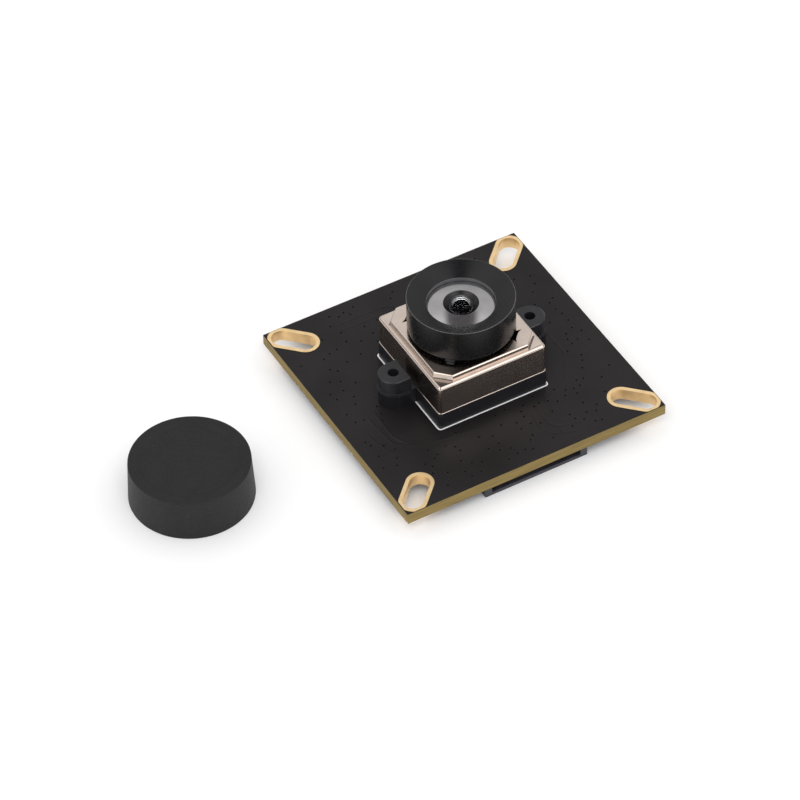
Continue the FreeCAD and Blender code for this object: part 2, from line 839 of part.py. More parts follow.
def hang(shape, x, y, turn=0):
    """Places a part that was drawn at the origin, under the board."""
    shape.rotate(V(0, 0, 0), V(0, 0, 1), turn)
    shape.translate(V(x, y, 0))
    return shape


def moulded_block(size_x, size_y, z0, z1):
    """Moulded package body, narrower at the bottom face than where the leads leave it."""
    wide = Part.makePolygon([V(sx * size_x / 2, sy * size_y / 2, z1)
                             for sx, sy in ((1, 1), (-1, 1), (-1, -1), (1, -1), (1, 1))])
    slim_x = size_x / 2 - package_draft
    slim_y = size_y / 2 - package_draft
    slim = Part.makePolygon([V(sx * slim_x, sy * slim_y, z0)
                             for sx, sy in ((1, 1), (-1, 1), (-1, -1), (1, -1), (1, 1))])
    return Part.makeLoft([slim, wide], True, True)


def leaded_chip(size, leads_front, leads_back, pitch):
    """Small moulded chip with gull-wing leads on two sides."""
    length, width, height = size
    stand = lead_thickness
    body = moulded_block(length, width, -height, -stand)
    rows = ((-1, leads_front), (1, leads_back))
    leads = []
    for side, places in rows:
        for place in places:
            x = place * pitch
            y_out = side * (width / 2 + lead_reach)
            y_knee = side * (width / 2 + lead_reach / 2)
            y_in = side * (width / 2 - package_draft * 2)
            foot = box(x - lead_width / 2, min(y_out, y_knee), -lead_thickness,
                       x + lead_width / 2, max(y_out, y_knee), 0)
            knee = box(x - lead_width / 2, min(y_knee, y_knee - side * lead_thickness),
                       -height / 2 - lead_thickness, x + lead_width / 2,
                       max(y_knee, y_knee - side * lead_thickness), 0)
            arm = box(x - lead_width / 2, min(y_in, y_knee), -height / 2 - lead_thickness,
                      x + lead_width / 2, max(y_in, y_knee), -height / 2)
            leads += [foot, knee, arm]
    return body.fuse(leads).removeSplitter()


def end_capped(size):
    """Two-terminal chip part: body with slightly proud metal ends."""
    length, width, height = size
    body = centred_box(length - 2 * cap_end, width - 2 * cap_end_step,
                       -height + cap_end_step, -cap_end_step)
    ends = []
    for side in (-1, 1):
        ends.append(centred_box(cap_end, width, -height, 0, side * (length - cap_end) / 2))
    return body.fuse(ends)


def leadless_chip(size):
    """Flat leadless package with a chipped corner that marks its first pin."""
    length, width, height = size
    body = centred_box(length, width, -height, 0)
    corner = edges_where(body, lambda p: p.x < -length / 2 + 1e-6 and p.y < -width / 2 + 1e-6
                         and abs(p.z + height / 2) < 1e-6)
    return body.makeChamfer(width * 0.15, corner)


def tantalum_chip(size):
    """Moulded tantalum capacitor with its folded metal ends."""
    length, width, height = size
    body = moulded_block(length - 2 * lead_thickness, width, -height, -lead_thickness)
    ends = []
    for side in (-1, 1):
        edge = side * length / 2
        inner = edge - side * cap_end * 3
        wall = edge - side * lead_thickness * 1.8
        ends.append(box(min(edge, inner), -width / 3, -lead_thickness,
                        max(edge, inner), width / 3, 0))
        ends.append(box(min(edge, wall), -width / 3, -height * 0.6,
                        max(edge, wall), width / 3, 0))
    return body.fuse(ends).removeSplitter()


def chip_row(kind, size, count, x, y, step_x, step_y, turn=0):
    """A row of like chip parts."""
    row = []
    for index in range(count):
        row.append(hang(kind(size), x + index * step_x, y + index * step_y, turn))
    return row


def underside_parts():
    """Everything soldered under the board apart from the connector."""
    parts = {}
    regulator_x = -(ear_hole_place + head_radius + regulator_gap)
    for index in range(3):
        chip = leaded_chip(regulator_size, (-1, 0, 1), (-1, 1), lead_pitch)
        y = regulator_offset - index * regulator_pitch
        parts["regulator_%d" % (index + 1)] = hang(chip, regulator_x, y, 90)
    parts["motor_driver"] = hang(leadless_chip(driver_size), *driver_place)
    memory = leaded_chip(memory_size, (-1.5, -0.5, 0.5, 1.5), (-1.5, -0.5, 0.5, 1.5), memory_pitch)
    parts["memory_chip"] = hang(memory, *memory_place)
    parts["oscillator"] = hang(leadless_chip(oscillator_size), *oscillator_place)
    for index, side in enumerate((-1, 1)):
        chip = tantalum_chip(tantalum_size)
        parts["tantalum_%d" % (index + 1)] = hang(chip, side * tantalum_offset,
                                                  board_side / 2 - tantalum_inset)
    beads = chip_row(end_capped, ferrite_size, 4, -1.5 * bead_pitch,
                     board_side / 2 - bead_inset, bead_pitch, 0)
    parts["ferrite_beads"] = Part.makeCompound(beads)
    beside = sensor_side / 2 + capacitor_gap
    capacitors = []
    for side in (-1, 1):
        capacitors += chip_row(end_capped, capacitor_size, 5, -2 * capacitor_pitch,
                               side * beside, capacitor_pitch, 0)
        capacitors += chip_row(end_capped, capacitor_size, 3, side * beside,
                               -capacitor_side_pitch, 0, capacitor_side_pitch, 90)
    parts["capacitors"] = Part.makeCompound(capacitors)
    resistors = chip_row(end_capped, resistor_size, 6, board_side / 2 - resistor_inset,
                         -resistor_offset, 0, resistor_pitch)
    row_y = -ffc_back + contact_tail + resistor_row_gap
    resistors += chip_row(end_capped, resistor_size, 4, -1.5 * resistor_row_pitch, row_y,
                          resistor_row_pitch, 0)
    parts["resistors"] = Part.makeCompound(resistors)
    return parts


def make_lens_cap():
    """Rubber cap: tapered outside, round bore for the lens head, shallow dish on top."""
    foot = floor_level
    top = foot + cap_height
    ceiling = foot + lens_head_height
    side_at_edge = cap_top_radius + cap_taper * cap_edge_round / cap_height
    bend = cap_edge_round * (1 - math.sqrt(0.5))
    body = revolve([
        (0, ceiling), (cap_bore_radius, ceiling), (cap_bore_radius, foot), (cap_foot_radius, foot),
        (side_at_edge, top - cap_edge_round), (side_at_edge - bend, top - bend),
        (side_at_edge - cap_edge_round, top), (cap_recess_radius, top),
        (cap_recess_radius - cap_recess_depth, top - cap_recess_depth), (0, top - cap_recess_depth),
    ])
    body.translate(V(cap_x, cap_offset, 0))
    return body


def build():
    """All nodes of the module, by name."""
    nodes = {"board": make_board()}
    for index, (x, y) in enumerate(slot_places()):
        nodes["slot_ring_%d" % (index + 1)] = make_slot_ring(x, y)
    nodes["lens_holder"] = make_holder()
    nodes["holder_screws"] = Part.makeCompound([make_screw(side * ear_hole_place)
                                                for side in (-1, 1)])
    nodes["sensor_package"] = make_sensor_package()
    nodes["sensor_die"] = make_sensor_die()
    nodes["sensor_glass"] = make_sensor_glass()
    nodes["ir_filter"] = make_ir_filter()
    nodes["motor_base"] = make_motor_base()
    nodes["lower_spring"] = spring_outline(motor_base_top)
    nodes["lens_carrier"] = make_carrier()
    nodes["motor_coil"] = make_coil()
    for quarter in range(4):
        nodes["motor_magnet_%d" % (quarter + 1)] = make_magnet(quarter)
    nodes["upper_spring"] = spring_outline(upper_spring_bottom)
    nodes["motor_top_spacer"] = make_top_spacer()
    for index, side in enumerate((-1, 1)):
        nodes["motor_terminal_%d" % (index + 1)] = terminal_blank(side)
    nodes["motor_can"] = make_can()
    nodes["lens_barrel"] = make_barrel()
    nodes.update(optical_stack())
    contacts = [make_contact(x) for x in contact_places()]
    nodes["ffc_contacts"] = Part.makeCompound(contacts)
    nodes["ffc_housing"] = make_ffc_housing(contacts)
    nodes["ffc_slider"] = make_ffc_slider()
    for index, side in enumerate((-1, 1)):
        nodes["ffc_anchor_%d" % (index + 1)] = make_ffc_anchor(side)
    nodes.update(underside_parts())
    nodes["lens_cap"] = make_lens_cap()
    return nodes


os.makedirs("parts", exist_ok=True)
for name, shape in build().items():
    shape.exportStep("parts/" + name + ".step")
    print("%-18s solids %2d faces %3d valid %s volume %9.3f"
          % (name, len(shape.Solids), len(shape.Faces), shape.isValid(), shape.Volume))
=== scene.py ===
import math
import random

import bmesh
import bpy
from mathutils import Matrix, Vector


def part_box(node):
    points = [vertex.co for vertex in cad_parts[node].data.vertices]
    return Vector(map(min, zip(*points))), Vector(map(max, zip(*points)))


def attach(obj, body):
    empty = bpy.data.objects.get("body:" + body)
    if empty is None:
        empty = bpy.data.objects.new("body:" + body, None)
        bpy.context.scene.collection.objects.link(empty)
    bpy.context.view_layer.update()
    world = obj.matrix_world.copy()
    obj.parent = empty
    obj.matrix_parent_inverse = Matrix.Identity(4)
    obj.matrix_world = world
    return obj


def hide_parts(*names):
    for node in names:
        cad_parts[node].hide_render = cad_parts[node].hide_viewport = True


bl_info = {
    "name": "Camera Module",
    "version": (1, 0, 0),
    "blender": (4, 5, 0),
    "location": "3D View > Sidebar > Camera Module",
    "description": "Dresses a packed autofocus camera module and its lens cap",
    "category": "Object",
}

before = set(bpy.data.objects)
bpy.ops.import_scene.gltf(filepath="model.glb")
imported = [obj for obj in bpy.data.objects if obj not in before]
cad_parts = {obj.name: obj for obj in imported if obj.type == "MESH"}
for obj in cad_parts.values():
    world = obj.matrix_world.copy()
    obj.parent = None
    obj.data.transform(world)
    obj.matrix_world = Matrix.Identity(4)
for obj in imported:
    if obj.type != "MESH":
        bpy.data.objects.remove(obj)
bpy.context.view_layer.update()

MM = 0.001


# Measures in millimetres

def box_mm(node):
    """Lowest and highest corner of a CAD node."""
    return [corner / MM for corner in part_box(node)]


BOARD_FOOT, BOARD_TOP = (corner.z for corner in box_mm("board"))
BARREL_LOW, BARREL_HIGH = box_mm("lens_barrel")
CAP_LOW, CAP_HIGH = box_mm("lens_cap")
HEAD_HEIGHT = 4.7
CONE_DEPTH = 1.05
LIP_DEPTH = 0.5
EAR_PLACE = 10.15
EAR_FACE = 8.6
SLOT_PLACE = 16.05
REGULATORS = ("regulator_1", "regulator_2", "regulator_3")
TANTALUMS = ("tantalum_1", "tantalum_2")
TERMINALS = ("motor_terminal_1", "motor_terminal_2")


# Settings

def linear(red, green, blue):
    """Screen colour from 0 to 255 as a scene-linear colour."""
    return tuple(((c / 255 + 0.055) / 1.055) ** 2.4 if c > 10 else c / 255 / 12.92
                 for c in (red, green, blue))


def length(name, description, millimetres):
    """A length property, given in millimetres and kept in metres."""
    return bpy.props.FloatProperty(name=name, description=description, unit="LENGTH",
                                   default=millimetres * MM, precision=5)


def tone(name, description, red, green, blue):
    """A colour property, given as it looks on a screen."""
    return bpy.props.FloatVectorProperty(name=name, description=description, subtype="COLOR",
                                         size=3, min=0.0, max=1.0,
                                         default=linear(red, green, blue))


class BoardSettings(bpy.types.PropertyGroup):
    mask: tone("Solder mask", "Lacquer on both faces", 31, 28, 29)
    laminate: tone("Laminate", "Glass-fibre edge of the board", 128, 108, 56)
    ink: tone("Ink", "Printed lines", 255, 255, 255)
    gold: tone("Gold", "Plating of the slots", 255, 222, 168)
    frame_side: length("Printed square", "Side of the square round the holder", 16.18)
    frame_line: length("Line width", "Width of the printed line", 0.17)
    via_radius: length("Via radius", "Radius of a lacquered via", 0.24)
    via_count: bpy.props.IntProperty(name="Vias", description="Vias on each face",
                                     default=190, min=0, max=400)


class HolderSettings(bpy.types.PropertyGroup):
    plastic: tone("Plastic", "Moulded holder and its ears", 30, 30, 34)
    steel: tone("Steel", "Screws", 190, 188, 184)
    edge: length("Edge", "Roundness of the moulded edges", 0.06)


class MotorSettings(bpy.types.PropertyGroup):
    can: tone("Can", "Nickel-plated can", 210, 195, 184)
    copper: tone("Copper", "Coil", 150, 88, 50)
    edge: length("Edge", "Roundness of the drawn edges", 0.16)
    foot: length("Foot", "Reach of the can's rolled foot", 0.045)
    step_slope: length("Step slope", "Slope of the step round the raised top", 0.07)


class LensSettings(bpy.types.PropertyGroup):
    barrel: tone("Barrel", "Black anodised barrel", 17, 17, 19)
    # Lighter grey for the head's rim and the lip's inner wall: a painted highlight on the rim and
    # painted light on the wall.
    worn: tone("Worn edge", "Polished edges of the head", 96, 96, 99)
    collar: tone("Collar", "Satin collar round the front glass", 160, 158, 159)
    thread_pitch: length("Thread pitch", "Pitch of the thread on the neck", 0.5)
    thread_depth: length("Thread depth", "Depth of the thread on the neck", 0.2)
    dome_radius: length("Dome radius", "Ball radius of the wide collar", 20.0)
    ball_radius: length("Shell radius", "Outer radius of the clear front shell", 1.57)
    ball_wall: length("Shell wall", "Thickness of the clear front shell", 0.24)
    pupil_radius: length("Pupil radius", "Radius of the dark well behind the shell", 1.36)


class ConnectorSettings(bpy.types.PropertyGroup):
    housing: tone("Housing", "Connector housing", 46, 46, 52)
    slider: tone("Slider", "Lock slider", 58, 58, 65)
    tin: tone("Tin", "Tinned leads and solder", 196, 196, 192)


class CapSettings(bpy.types.PropertyGroup):
    rubber: tone("Rubber", "Soft black cap", 19, 18, 20)
    foot_radius: length("Foot radius", "Outside radius at the open end", 8.13)
    top_radius: length("Top radius", "Outside radius at the closed end", 7.84)
    dish_radius: length("Dish radius", "Radius of the shallow dish", 6.5)
    dish_depth: length("Dish depth", "Depth of the shallow dish", 0.15)
    bore_radius: length("Bore radius", "Radius of the bore", 7.05)
    bore_depth: length("Bore depth", "Depth of the bore", 4.7)


class StageSettings(bpy.types.PropertyGroup):
    tent: bpy.props.FloatProperty(name="Tent", description="Brightness of the studio tent",
                                  default=1.0, min=0.0, max=1.0, subtype="FACTOR")
    key: bpy.props.FloatProperty(name="Key light", description="Power of the key light",
                                 default=1.15, min=0.0, unit="POWER")
    floor: tone("Floor", "Pale floor", 255, 255, 255)
    focal: bpy.props.FloatProperty(name="Focal length", description="Camera's focal length",
                                   default=209.07, min=1.0, unit="CAMERA")


SETTINGS = {"board": BoardSettings, "holder": HolderSettings, "motor": MotorSettings,
            "lens": LensSettings, "connector": ConnectorSettings, "cap": CapSettings,
            "stage": StageSettings}


def settings(context, group):
    """One group of this part's settings."""
    return getattr(context.scene, "camera_module_" + group)


# Shader maths

class Value:
    """A shader socket that Python's operators work on; each operator adds a Math node."""

    def __init__(self, paint, socket):
        self.paint = paint
        self.socket = socket

    def __add__(self, other):
        return self.paint.maths("ADD", self, other)

    __radd__ = __add__

    def __sub__(self, other):
        return self.paint.maths("SUBTRACT", self, other)

    def __rsub__(self, other):
        return self.paint.maths("SUBTRACT", other, self)

    def __mul__(self, other):
        return self.paint.maths("MULTIPLY", self, other)

    __rmul__ = __mul__

    def __pow__(self, other):
        return self.paint.maths("POWER", self, other)

    def __abs__(self):
        return self.paint.maths("ABSOLUTE", self)


class Paint:
    """Builds the nodes of one material."""

    def __init__(self, tree):
        self.tree = tree
        tree.nodes.clear()

    def node(self, kind, set_up=None, values=None, out=0):
        """Adds a node: its settings first, then the values or links of its sockets."""
        made = self.tree.nodes.new(kind)
        for key, value in (set_up or {}).items():
            setattr(made, key, value)
        for key, value in (values or {}).items():
            if isinstance(value, Value):
                self.tree.links.new(value.socket, made.inputs[key])
            else:
                made.inputs[key].default_value = value
        return Value(self, made.outputs[out]) if made.outputs else made

    def maths(self, operation, *terms):
        """A Math node."""
        return self.node("ShaderNodeMath", {"operation": operation}, dict(enumerate(terms)))

    def where(self):
        """Place on the object at rest, in millimetres."""
        place = self.node("ShaderNodeTexCoord", out=3)
        return self.node("ShaderNodeVectorMath", {"operation": "SCALE"}, {0: place, 3: 1000.0})

    def stretch(self, vector, x, y, z):
        """Scales a vector by three numbers."""
        return self.node("ShaderNodeVectorMath", {"operation": "MULTIPLY"},
                         {0: vector, 1: (x, y, z)})

    def parts(self, vector):
        """The three numbers of a vector."""
        made = self.node("ShaderNodeSeparateXYZ", None, {0: vector})
        return [Value(self, out) for out in made.socket.node.outputs]

    def seen(self):
        """One for what the camera sees straight, in a reflection or through glass."""
        straight, shiny, through = (self.node("ShaderNodeLightPath", out=k) for k in (0, 3, 6))
        return straight + shiny + through

    def noise(self, vector, scale, detail=3.0, rough=0.5):
        """Cloudy noise from nought to one."""
        return self.node("ShaderNodeTexNoise", None,
                         {"Vector": vector, "Scale": scale, "Detail": detail, "Roughness": rough})

    def specks(self, vector, scale, size):
        """Small round spots, one where there is a spot and nought elsewhere."""
        far = self.node("ShaderNodeTexVoronoi", None, {"Vector": vector, "Scale": scale})
        return self.step(far, size, size * 0.6)

    def step(self, value, low, high):
        """Smooth step from nought at low to one at high."""
        return self.node("ShaderNodeMapRange", {"interpolation_type": "SMOOTHSTEP"},
                         {0: value, 1: low, 2: high, 3: 0.0, 4: 1.0})

    def span(self, value, low, high):
        """Stretches noise about its middle to run from low to high, clamped."""
        return self.node("ShaderNodeMapRange", None, {0: value, 1: 0.3, 2: 0.7, 3: low, 4: high})

    def mix(self, factor, one, two):
        """Blend of two colours."""
        one, two = (c if isinstance(c, Value) else (*c, 1.0) for c in (one, two))
        return self.node("ShaderNodeMix", {"data_type": "RGBA"},
                         {0: factor, 6: one, 7: two}, out=2)

    def shade(self, cloud, colour, low=0.85, high=1.15):
        """A colour that drifts between a darker and a lighter tone of itself."""
        return self.mix(self.span(cloud, 0.0, 1.0), darker(colour, low), darker(colour, high))

    def bump(self, height, distance, strength=1.0):
        """Normal from a height; distance is in millimetres."""
        return self.node("ShaderNodeBump", None, {"Height": height, "Distance": distance * MM,
                                                  "Strength": strength})

    def surface(self, **values):
        """The Principled shader and the material's output."""
        ready = {key.replace("_", " ").title().replace("Ior", "IOR"):
                 (*value, 1.0) if isinstance(value, tuple) else value
                 for key, value in values.items()}
        shader = self.node("ShaderNodeBsdfPrincipled", None, ready)
        self.node("ShaderNodeOutputMaterial", None, {"Surface": shader})


def darker(colour, factor):
    """The same colour, darker or lighter."""
    return tuple(min(1.0, c * factor) for c in colour)


# Finishes

def finish(painter):
    """Makes a painter give its material by name, painted once."""
    def give(name, *values, **more):
        made = bpy.data.materials.get(name)
        if not made:
            made = bpy.data.materials.new(name)
            made.use_nodes = True
            painter(Paint(made.node_tree), *values, **more)
        return made
    return give


@finish
def lacquer(paint, colour):
    """Satin black lacquer over copper, with orange peel and dust."""
    place = paint.where()
    peel = paint.noise(place, 5.0, 2.0)
    base = paint.shade(paint.noise(place, 0.16, 2.0), colour, 0.82, 1.2)
    base = paint.mix(paint.specks(place, 0.9, 0.045) * 0.35, base, linear(110, 104, 98))
    paint.surface(base_color=base, roughness=paint.span(peel, 0.3, 0.42),
                  specular_ior_level=0.18, normal=paint.bump(peel, 0.004, 0.35))


@finish
def laminate(paint, colour):
    """Routed glass-fibre edge: layers of cloth in resin, with pale torn fibres."""
    place = paint.where()
    x, _, z = paint.parts(place)
    layers = paint.noise(paint.stretch(place, 0.25, 0.25, 9.0), 1.0, 3.0)
    fibres = paint.noise(paint.stretch(place, 9.0, 9.0, 2.0), 1.0, 4.0, 0.7)
    inside = paint.step(abs(z - 0.8), 0.7, 0.62)
    base = paint.shade(layers, colour, 0.8, 1.5)
    base = paint.mix(paint.step(fibres, 0.6, 0.74) * 0.5, base, linear(196, 178, 120))
    base = paint.mix(inside * 0.2 + 0.8, darker(colour, 0.55), base)
    torn = paint.noise(paint.stretch(place, 1.6, 1.6, 1.0), 1.0, 4.0, 0.7)
    torn = paint.step(torn, 0.58, 0.66) * paint.step(z, 0.4, 0.15) * paint.step(x, -18.5, -18.8)
    base = paint.mix(torn, base, linear(232, 226, 204))
    paint.surface(base_color=base, roughness=paint.span(fibres, 0.5, 0.8),
                  normal=paint.bump(fibres + layers, 0.02, 0.6))


@finish
def ink(paint, colour):
    """Printed white ink, a little uneven."""
    grain = paint.noise(paint.where(), 9.0, 3.0)
    paint.surface(base_color=paint.shade(grain, colour, 0.86, 1.0), roughness=0.6,
                  normal=paint.bump(grain, 0.004, 0.5))


@finish
def via_hole_shade(paint, colour):
    """Painted shade: the near-black middle of a lacquered via, with no reflection, standing for
    the shade in the hole beneath.
    """
    grain = paint.noise(paint.where(), 6.0, 2.0)
    paint.surface(base_color=paint.mix(grain, darker(colour, 0.12), darker(colour, 0.2)),
                  roughness=paint.span(grain, 0.5, 0.7), specular_ior_level=0.0)


@finish
def gold(paint, colour):
    """Soft gold plating with fine wear."""
    place = paint.where()
    wear = paint.noise(place, 7.0, 4.0, 0.65)
    base = paint.shade(paint.noise(place, 0.8, 3.0), colour, 0.86, 1.0)
    base = paint.mix(paint.step(wear, 0.62, 0.72) * 0.15, base, linear(222, 170, 104))
    paint.surface(base_color=base, metallic=0.8, roughness=paint.span(wear, 0.3, 0.38),
                  normal=paint.bump(wear, 0.002, 0.4))


@finish
def moulded(paint, colour, rough=0.42, grain_size=4.0, depth=0.01, gloss=0.4):
    """Moulded black plastic with a fine spark-eroded grain."""
    place = paint.where()
    grain = paint.noise(place, grain_size, 4.0, 0.6)
    base = paint.shade(paint.noise(place, 0.35, 2.0), colour)
    base = paint.mix(paint.specks(place, 1.3, 0.04) * 0.3, base, linear(120, 118, 114))
    paint.surface(base_color=base, roughness=paint.span(grain, rough - 0.08, rough + 0.08),
                  specular_ior_level=gloss, normal=paint.bump(grain, depth, 0.5))


@finish
def plated(paint, colour, rough=0.22, along=(0.5, 0.5, 0.5), depth=0.004, spread=0.07):
    """Plated or bare metal with fine drawing marks along one way."""
    place = paint.where()
    marks = paint.noise(paint.stretch(place, *along), 6.0, 4.0, 0.6)
    base = paint.shade(paint.noise(place, 0.5, 2.0), colour, 0.9, 1.0)
    base = paint.mix(paint.step(marks, 0.6, 0.75) * 0.25, base, darker(colour, 0.72))
    paint.surface(base_color=base, metallic=1.0, normal=paint.bump(marks, depth, 0.4),
                  roughness=paint.span(marks, rough - spread, rough + spread))


@finish
def turned(paint, colour, rough, pitch, metal=0.0, gloss=0.5):
    """Turned finish: fine rings round the lens axis."""
    place = paint.where()
    x, y, z = paint.parts(place)
    far = (x * x + y * y) ** 0.5
    rings = paint.maths("SINE", (far + z) * (2 * math.pi / pitch))
    grain = paint.noise(place, 2.2, 2.0)
    base = paint.shade(paint.noise(place, 0.3, 2.0), colour, 0.88, 1.12)
    paint.surface(base_color=base, metallic=metal, specular_ior_level=gloss,
                  roughness=paint.span(grain, rough - 0.02, rough + 0.03),
                  normal=paint.bump(rings * 0.5 + grain, 0.0008, 0.25))


@finish
def clear_glass(paint):
    """Front glass, with a faint haze of dust in its roughness."""
    haze = paint.noise(paint.where(), 0.8, 1.0)
    paint.surface(base_color=(0.97, 0.98, 0.985), roughness=paint.span(haze, 0.0, 0.01),
                  ior=1.5, specular_tint=(0.1, 0.1, 0.11), transmission_weight=1.0)


@finish
def coated_glass(paint, colour, gloss=0.6, coat=0.6):
    """Opaque dark glass with a coat; on the inner lens elements its near-black colour is painted
    shade for the dark inside of the lens.
    """
    haze = paint.noise(paint.where(), 1.5, 3.0)
    paint.surface(base_color=paint.mix(haze, darker(colour, 0.6), colour),
                  roughness=paint.span(haze, 0.03, 0.07), specular_ior_level=gloss,
                  coat_weight=coat, coat_roughness=0.03)


@finish
def rubber(paint, colour):
    """Soft black rubber with a matt skin, mould marks and a little dust."""
    place = paint.where()
    grain = paint.noise(place, 3.2, 5.0, 0.65)
    flow = paint.noise(paint.stretch(place, 0.5, 0.5, 0.12), 1.0, 3.0)
    base = paint.shade(flow, colour, 0.85, 1.25)
    base = paint.mix(paint.specks(place, 0.8, 0.05) * 0.4, base, linear(120, 116, 116))
    paint.surface(base_color=base, roughness=paint.span(grain, 0.52, 0.68),
                  specular_ior_level=0.4, normal=paint.bump(grain, 0.02, 0.4))


@finish
def matt_floor(paint, colour):
    """Pale floor that keeps the shadow and is white where nothing shades it."""
    matt = paint.node("ShaderNodeBsdfDiffuse", None, {"Color": (*colour, 1.0)})
    white = paint.node("ShaderNodeEmission", None,
                       {"Color": (0.97, 0.95, 1.0, 1.0), "Strength": 1.0})
    both = paint.node("ShaderNodeMixShader", None, {0: paint.seen() * 0.06, 1: matt, 2: white})
    paint.node("ShaderNodeOutputMaterial", None, {"Surface": both})


# Meshes

def metres(bm):
    """Turns a mesh drawn in millimetres into metres."""
    bmesh.ops.scale(bm, vec=(MM, MM, MM), verts=bm.verts)
    return bm


def node_mesh(*nodes):
    """The CAD solids of some nodes as one joined mesh, in metres, with whole flat faces."""
    bm = bmesh.new()
    for node in nodes:
        bm.from_mesh(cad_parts[node].data)
    bmesh.ops.remove_doubles(bm, verts=bm.verts, dist=2e-7)
    bmesh.ops.dissolve_limit(bm, angle_limit=math.radians(0.4), verts=bm.verts, edges=bm.edges,
                             use_dissolve_boundaries=False)
    return bm


def soften(bm, width, steps=2, turn=40.0):
    """Rounds every edge that turns by more than a given angle."""
    sharp = [e for e in bm.edges if e.is_manifold and e.calc_face_angle(0) > math.radians(turn)]
    bmesh.ops.bevel(bm, geom=sharp, offset=width, segments=steps, profile=0.5, affect="EDGES",
                    clamp_overlap=True, material=-1)
    return bm


def finish_piece(name, bm, materials, body="module", nodes=(), smooth=35.0):
    """Makes a visible piece that rides on a body and stands for CAD nodes."""
    mesh = bpy.data.meshes.new(name)
    bmesh.ops.recalc_face_normals(bm, faces=bm.faces)
    bm.to_mesh(mesh)
    bm.free()
    mesh.polygons.foreach_set("use_smooth", [True] * len(mesh.polygons))
    mesh.set_sharp_from_angle(angle=math.radians(smooth))
    for made in materials:
        mesh.materials.append(made)
    piece = bpy.data.objects.new(name, mesh)
    bpy.context.scene.collection.objects.link(piece)
    weighted = piece.modifiers.new("Weighted normals", "WEIGHTED_NORMAL")
    weighted.keep_sharp = True
    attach(piece, body)
    if nodes:
        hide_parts(*nodes)
    return piece


def softened(name, nodes, width, steps, made, body="module"):
    """Makes a piece from CAD nodes with their edges rounded by a width in millimetres."""
    bm = soften(node_mesh(*nodes), width * MM, steps)
    return finish_piece(name, bm, [made], body, nodes)


def dress(made, *nodes):
    """Gives CAD nodes their finish."""
    for node in nodes:
        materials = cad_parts[node].data.materials
        materials.clear()
        materials.append(made)


def join(bm, other):
    """Adds another mesh to this one and frees it."""
    spare = bpy.data.meshes.new("spare")
    other.to_mesh(spare)
    other.free()
    bm.from_mesh(spare)
    bpy.data.meshes.remove(spare)
    return bm


def ring(bm, x, y, reach_x, reach_y, level, count):
    """Row of points round an upright axis."""
    return [bm.verts.new((x + reach_x * math.cos(a), y + reach_y * math.sin(a), level))
            for a in (2 * math.pi * k / count for k in range(count))]


def skin(bm, rows, index=0, closed=False):
    """Faces between neighbouring rows; a closed row runs round, and may be a single point."""
    for one, two in zip(rows, rows[1:]):
        count = max(len(one), len(two))
        for k in range(count if closed else count - 1):
            j = (k + 1) % count
            corners = (one[k % len(one)], one[j % len(one)], two[j % len(two)], two[k % len(two)])
            face = list(dict.fromkeys(corners))
            if len(face) > 2:
                bm.faces.new(face).material_index = index


def lathe(bm, profile, segments, centre=(0.0, 0.0), index=0, closed=False):
    """Turns a profile of (radius, level) points round an upright axis."""
    rows = [ring(bm, *centre, radius, radius, level, segments if radius > 1e-6 else 1)
            for radius, level in profile]
    skin(bm, rows + rows[:1] if closed else rows, index, closed=True)
    return bm


def rounded(profile, radius, steps=4, closed=False):
    """Rounds the corners of a profile; radius is one number or one for each corner."""
    radii = radius if isinstance(radius, list) else [radius] * len(profile)
    made = []
    for i, (point, r) in enumerate(zip(profile, radii)):
        if r <= 0 or not closed and i in (0, len(profile) - 1):
            made.append(point)
            continue
        here = Vector(point)
        back = Vector(profile[i - 1]) - here
        on = Vector(profile[(i + 1) % len(profile)]) - here
        reach = min(r / math.tan(back.angle(on) / 2), back.length * 0.45, on.length * 0.45)
        start, end = here + back.normalized() * reach, here + on.normalized() * reach
        for k in range(steps + 1):
            t = k / steps
            made.append(tuple(start * (1 - t) ** 2 + here * 2 * t * (1 - t) + end * t ** 2))
    return made


def mitre(path, i, closed):
    """Way to the left of a flat path at one of its points, longer where the path turns."""
    count = len(path)
    near = [Vector(path[k % count]) for k in (i - 1, i, i + 1) if closed or 0 <= k < count]
    ways = [(b - a).normalized() for a, b in zip(near, near[1:])]
    way = sum(ways, Vector((0.0, 0.0))).normalized()
    return Vector((-way.y, way.x)) / max(0.5, way.dot(ways[0]))


def sweep(bm, path, section, closed=False):
    """Draws a section of (out, level) points along a flat path; out is to its left."""
    rows = []
    for i, (x, y) in enumerate(path):
        side = mitre(path, i, closed)
        rows.append([bm.verts.new((x + side.x * out, y + side.y * out, level))
                     for out, level in section])
    skin(bm, rows + rows[:1] if closed else rows)
    if not closed:
        bm.faces.new(rows[0])
        bm.faces.new(rows[-1][::-1])


def strip(bm, path, width, base, height, slope, closed=False):
    """Low raised strip along a flat path, with sloping sides; height may be negative."""
    half = width / 2
    sweep(bm, path, [(-half - slope, base), (-half, base + height), (half, base + height),
                     (half + slope, base)], closed)


def bead(bm, x, y, reach_x, reach_y, level, height):
    """Small solder dome on a face; height may be negative, for the underside."""
    rows = []
    for up in (0.0, 0.35, 0.7, 0.92):
        out = math.sqrt(1 - up ** 2)
        rows.append(ring(bm, x, y, reach_x * out, reach_y * out, level + height * up, 10))
    skin(bm, rows, closed=True)
    bm.faces.new(rows[-1])


def islands(bm):
    """Lowest and highest corner of each separate solid of a mesh."""
    left = set(bm.verts)
    boxes = []
    while left:
        found = {left.pop()}
        edge = list(found)
        while edge:
            here = edge.pop()
            near = {e.other_vert(here) for e in here.link_edges} - found
            found |= near
            edge += list(near)
        left -= found
        boxes.append((Vector([min(v.co[k] for v in found) for k in range(3)]),
                      Vector([max(v.co[k] for v in found) for k in range(3)])))
    return sorted(boxes, key=lambda pair: tuple(pair[0]))


# Board

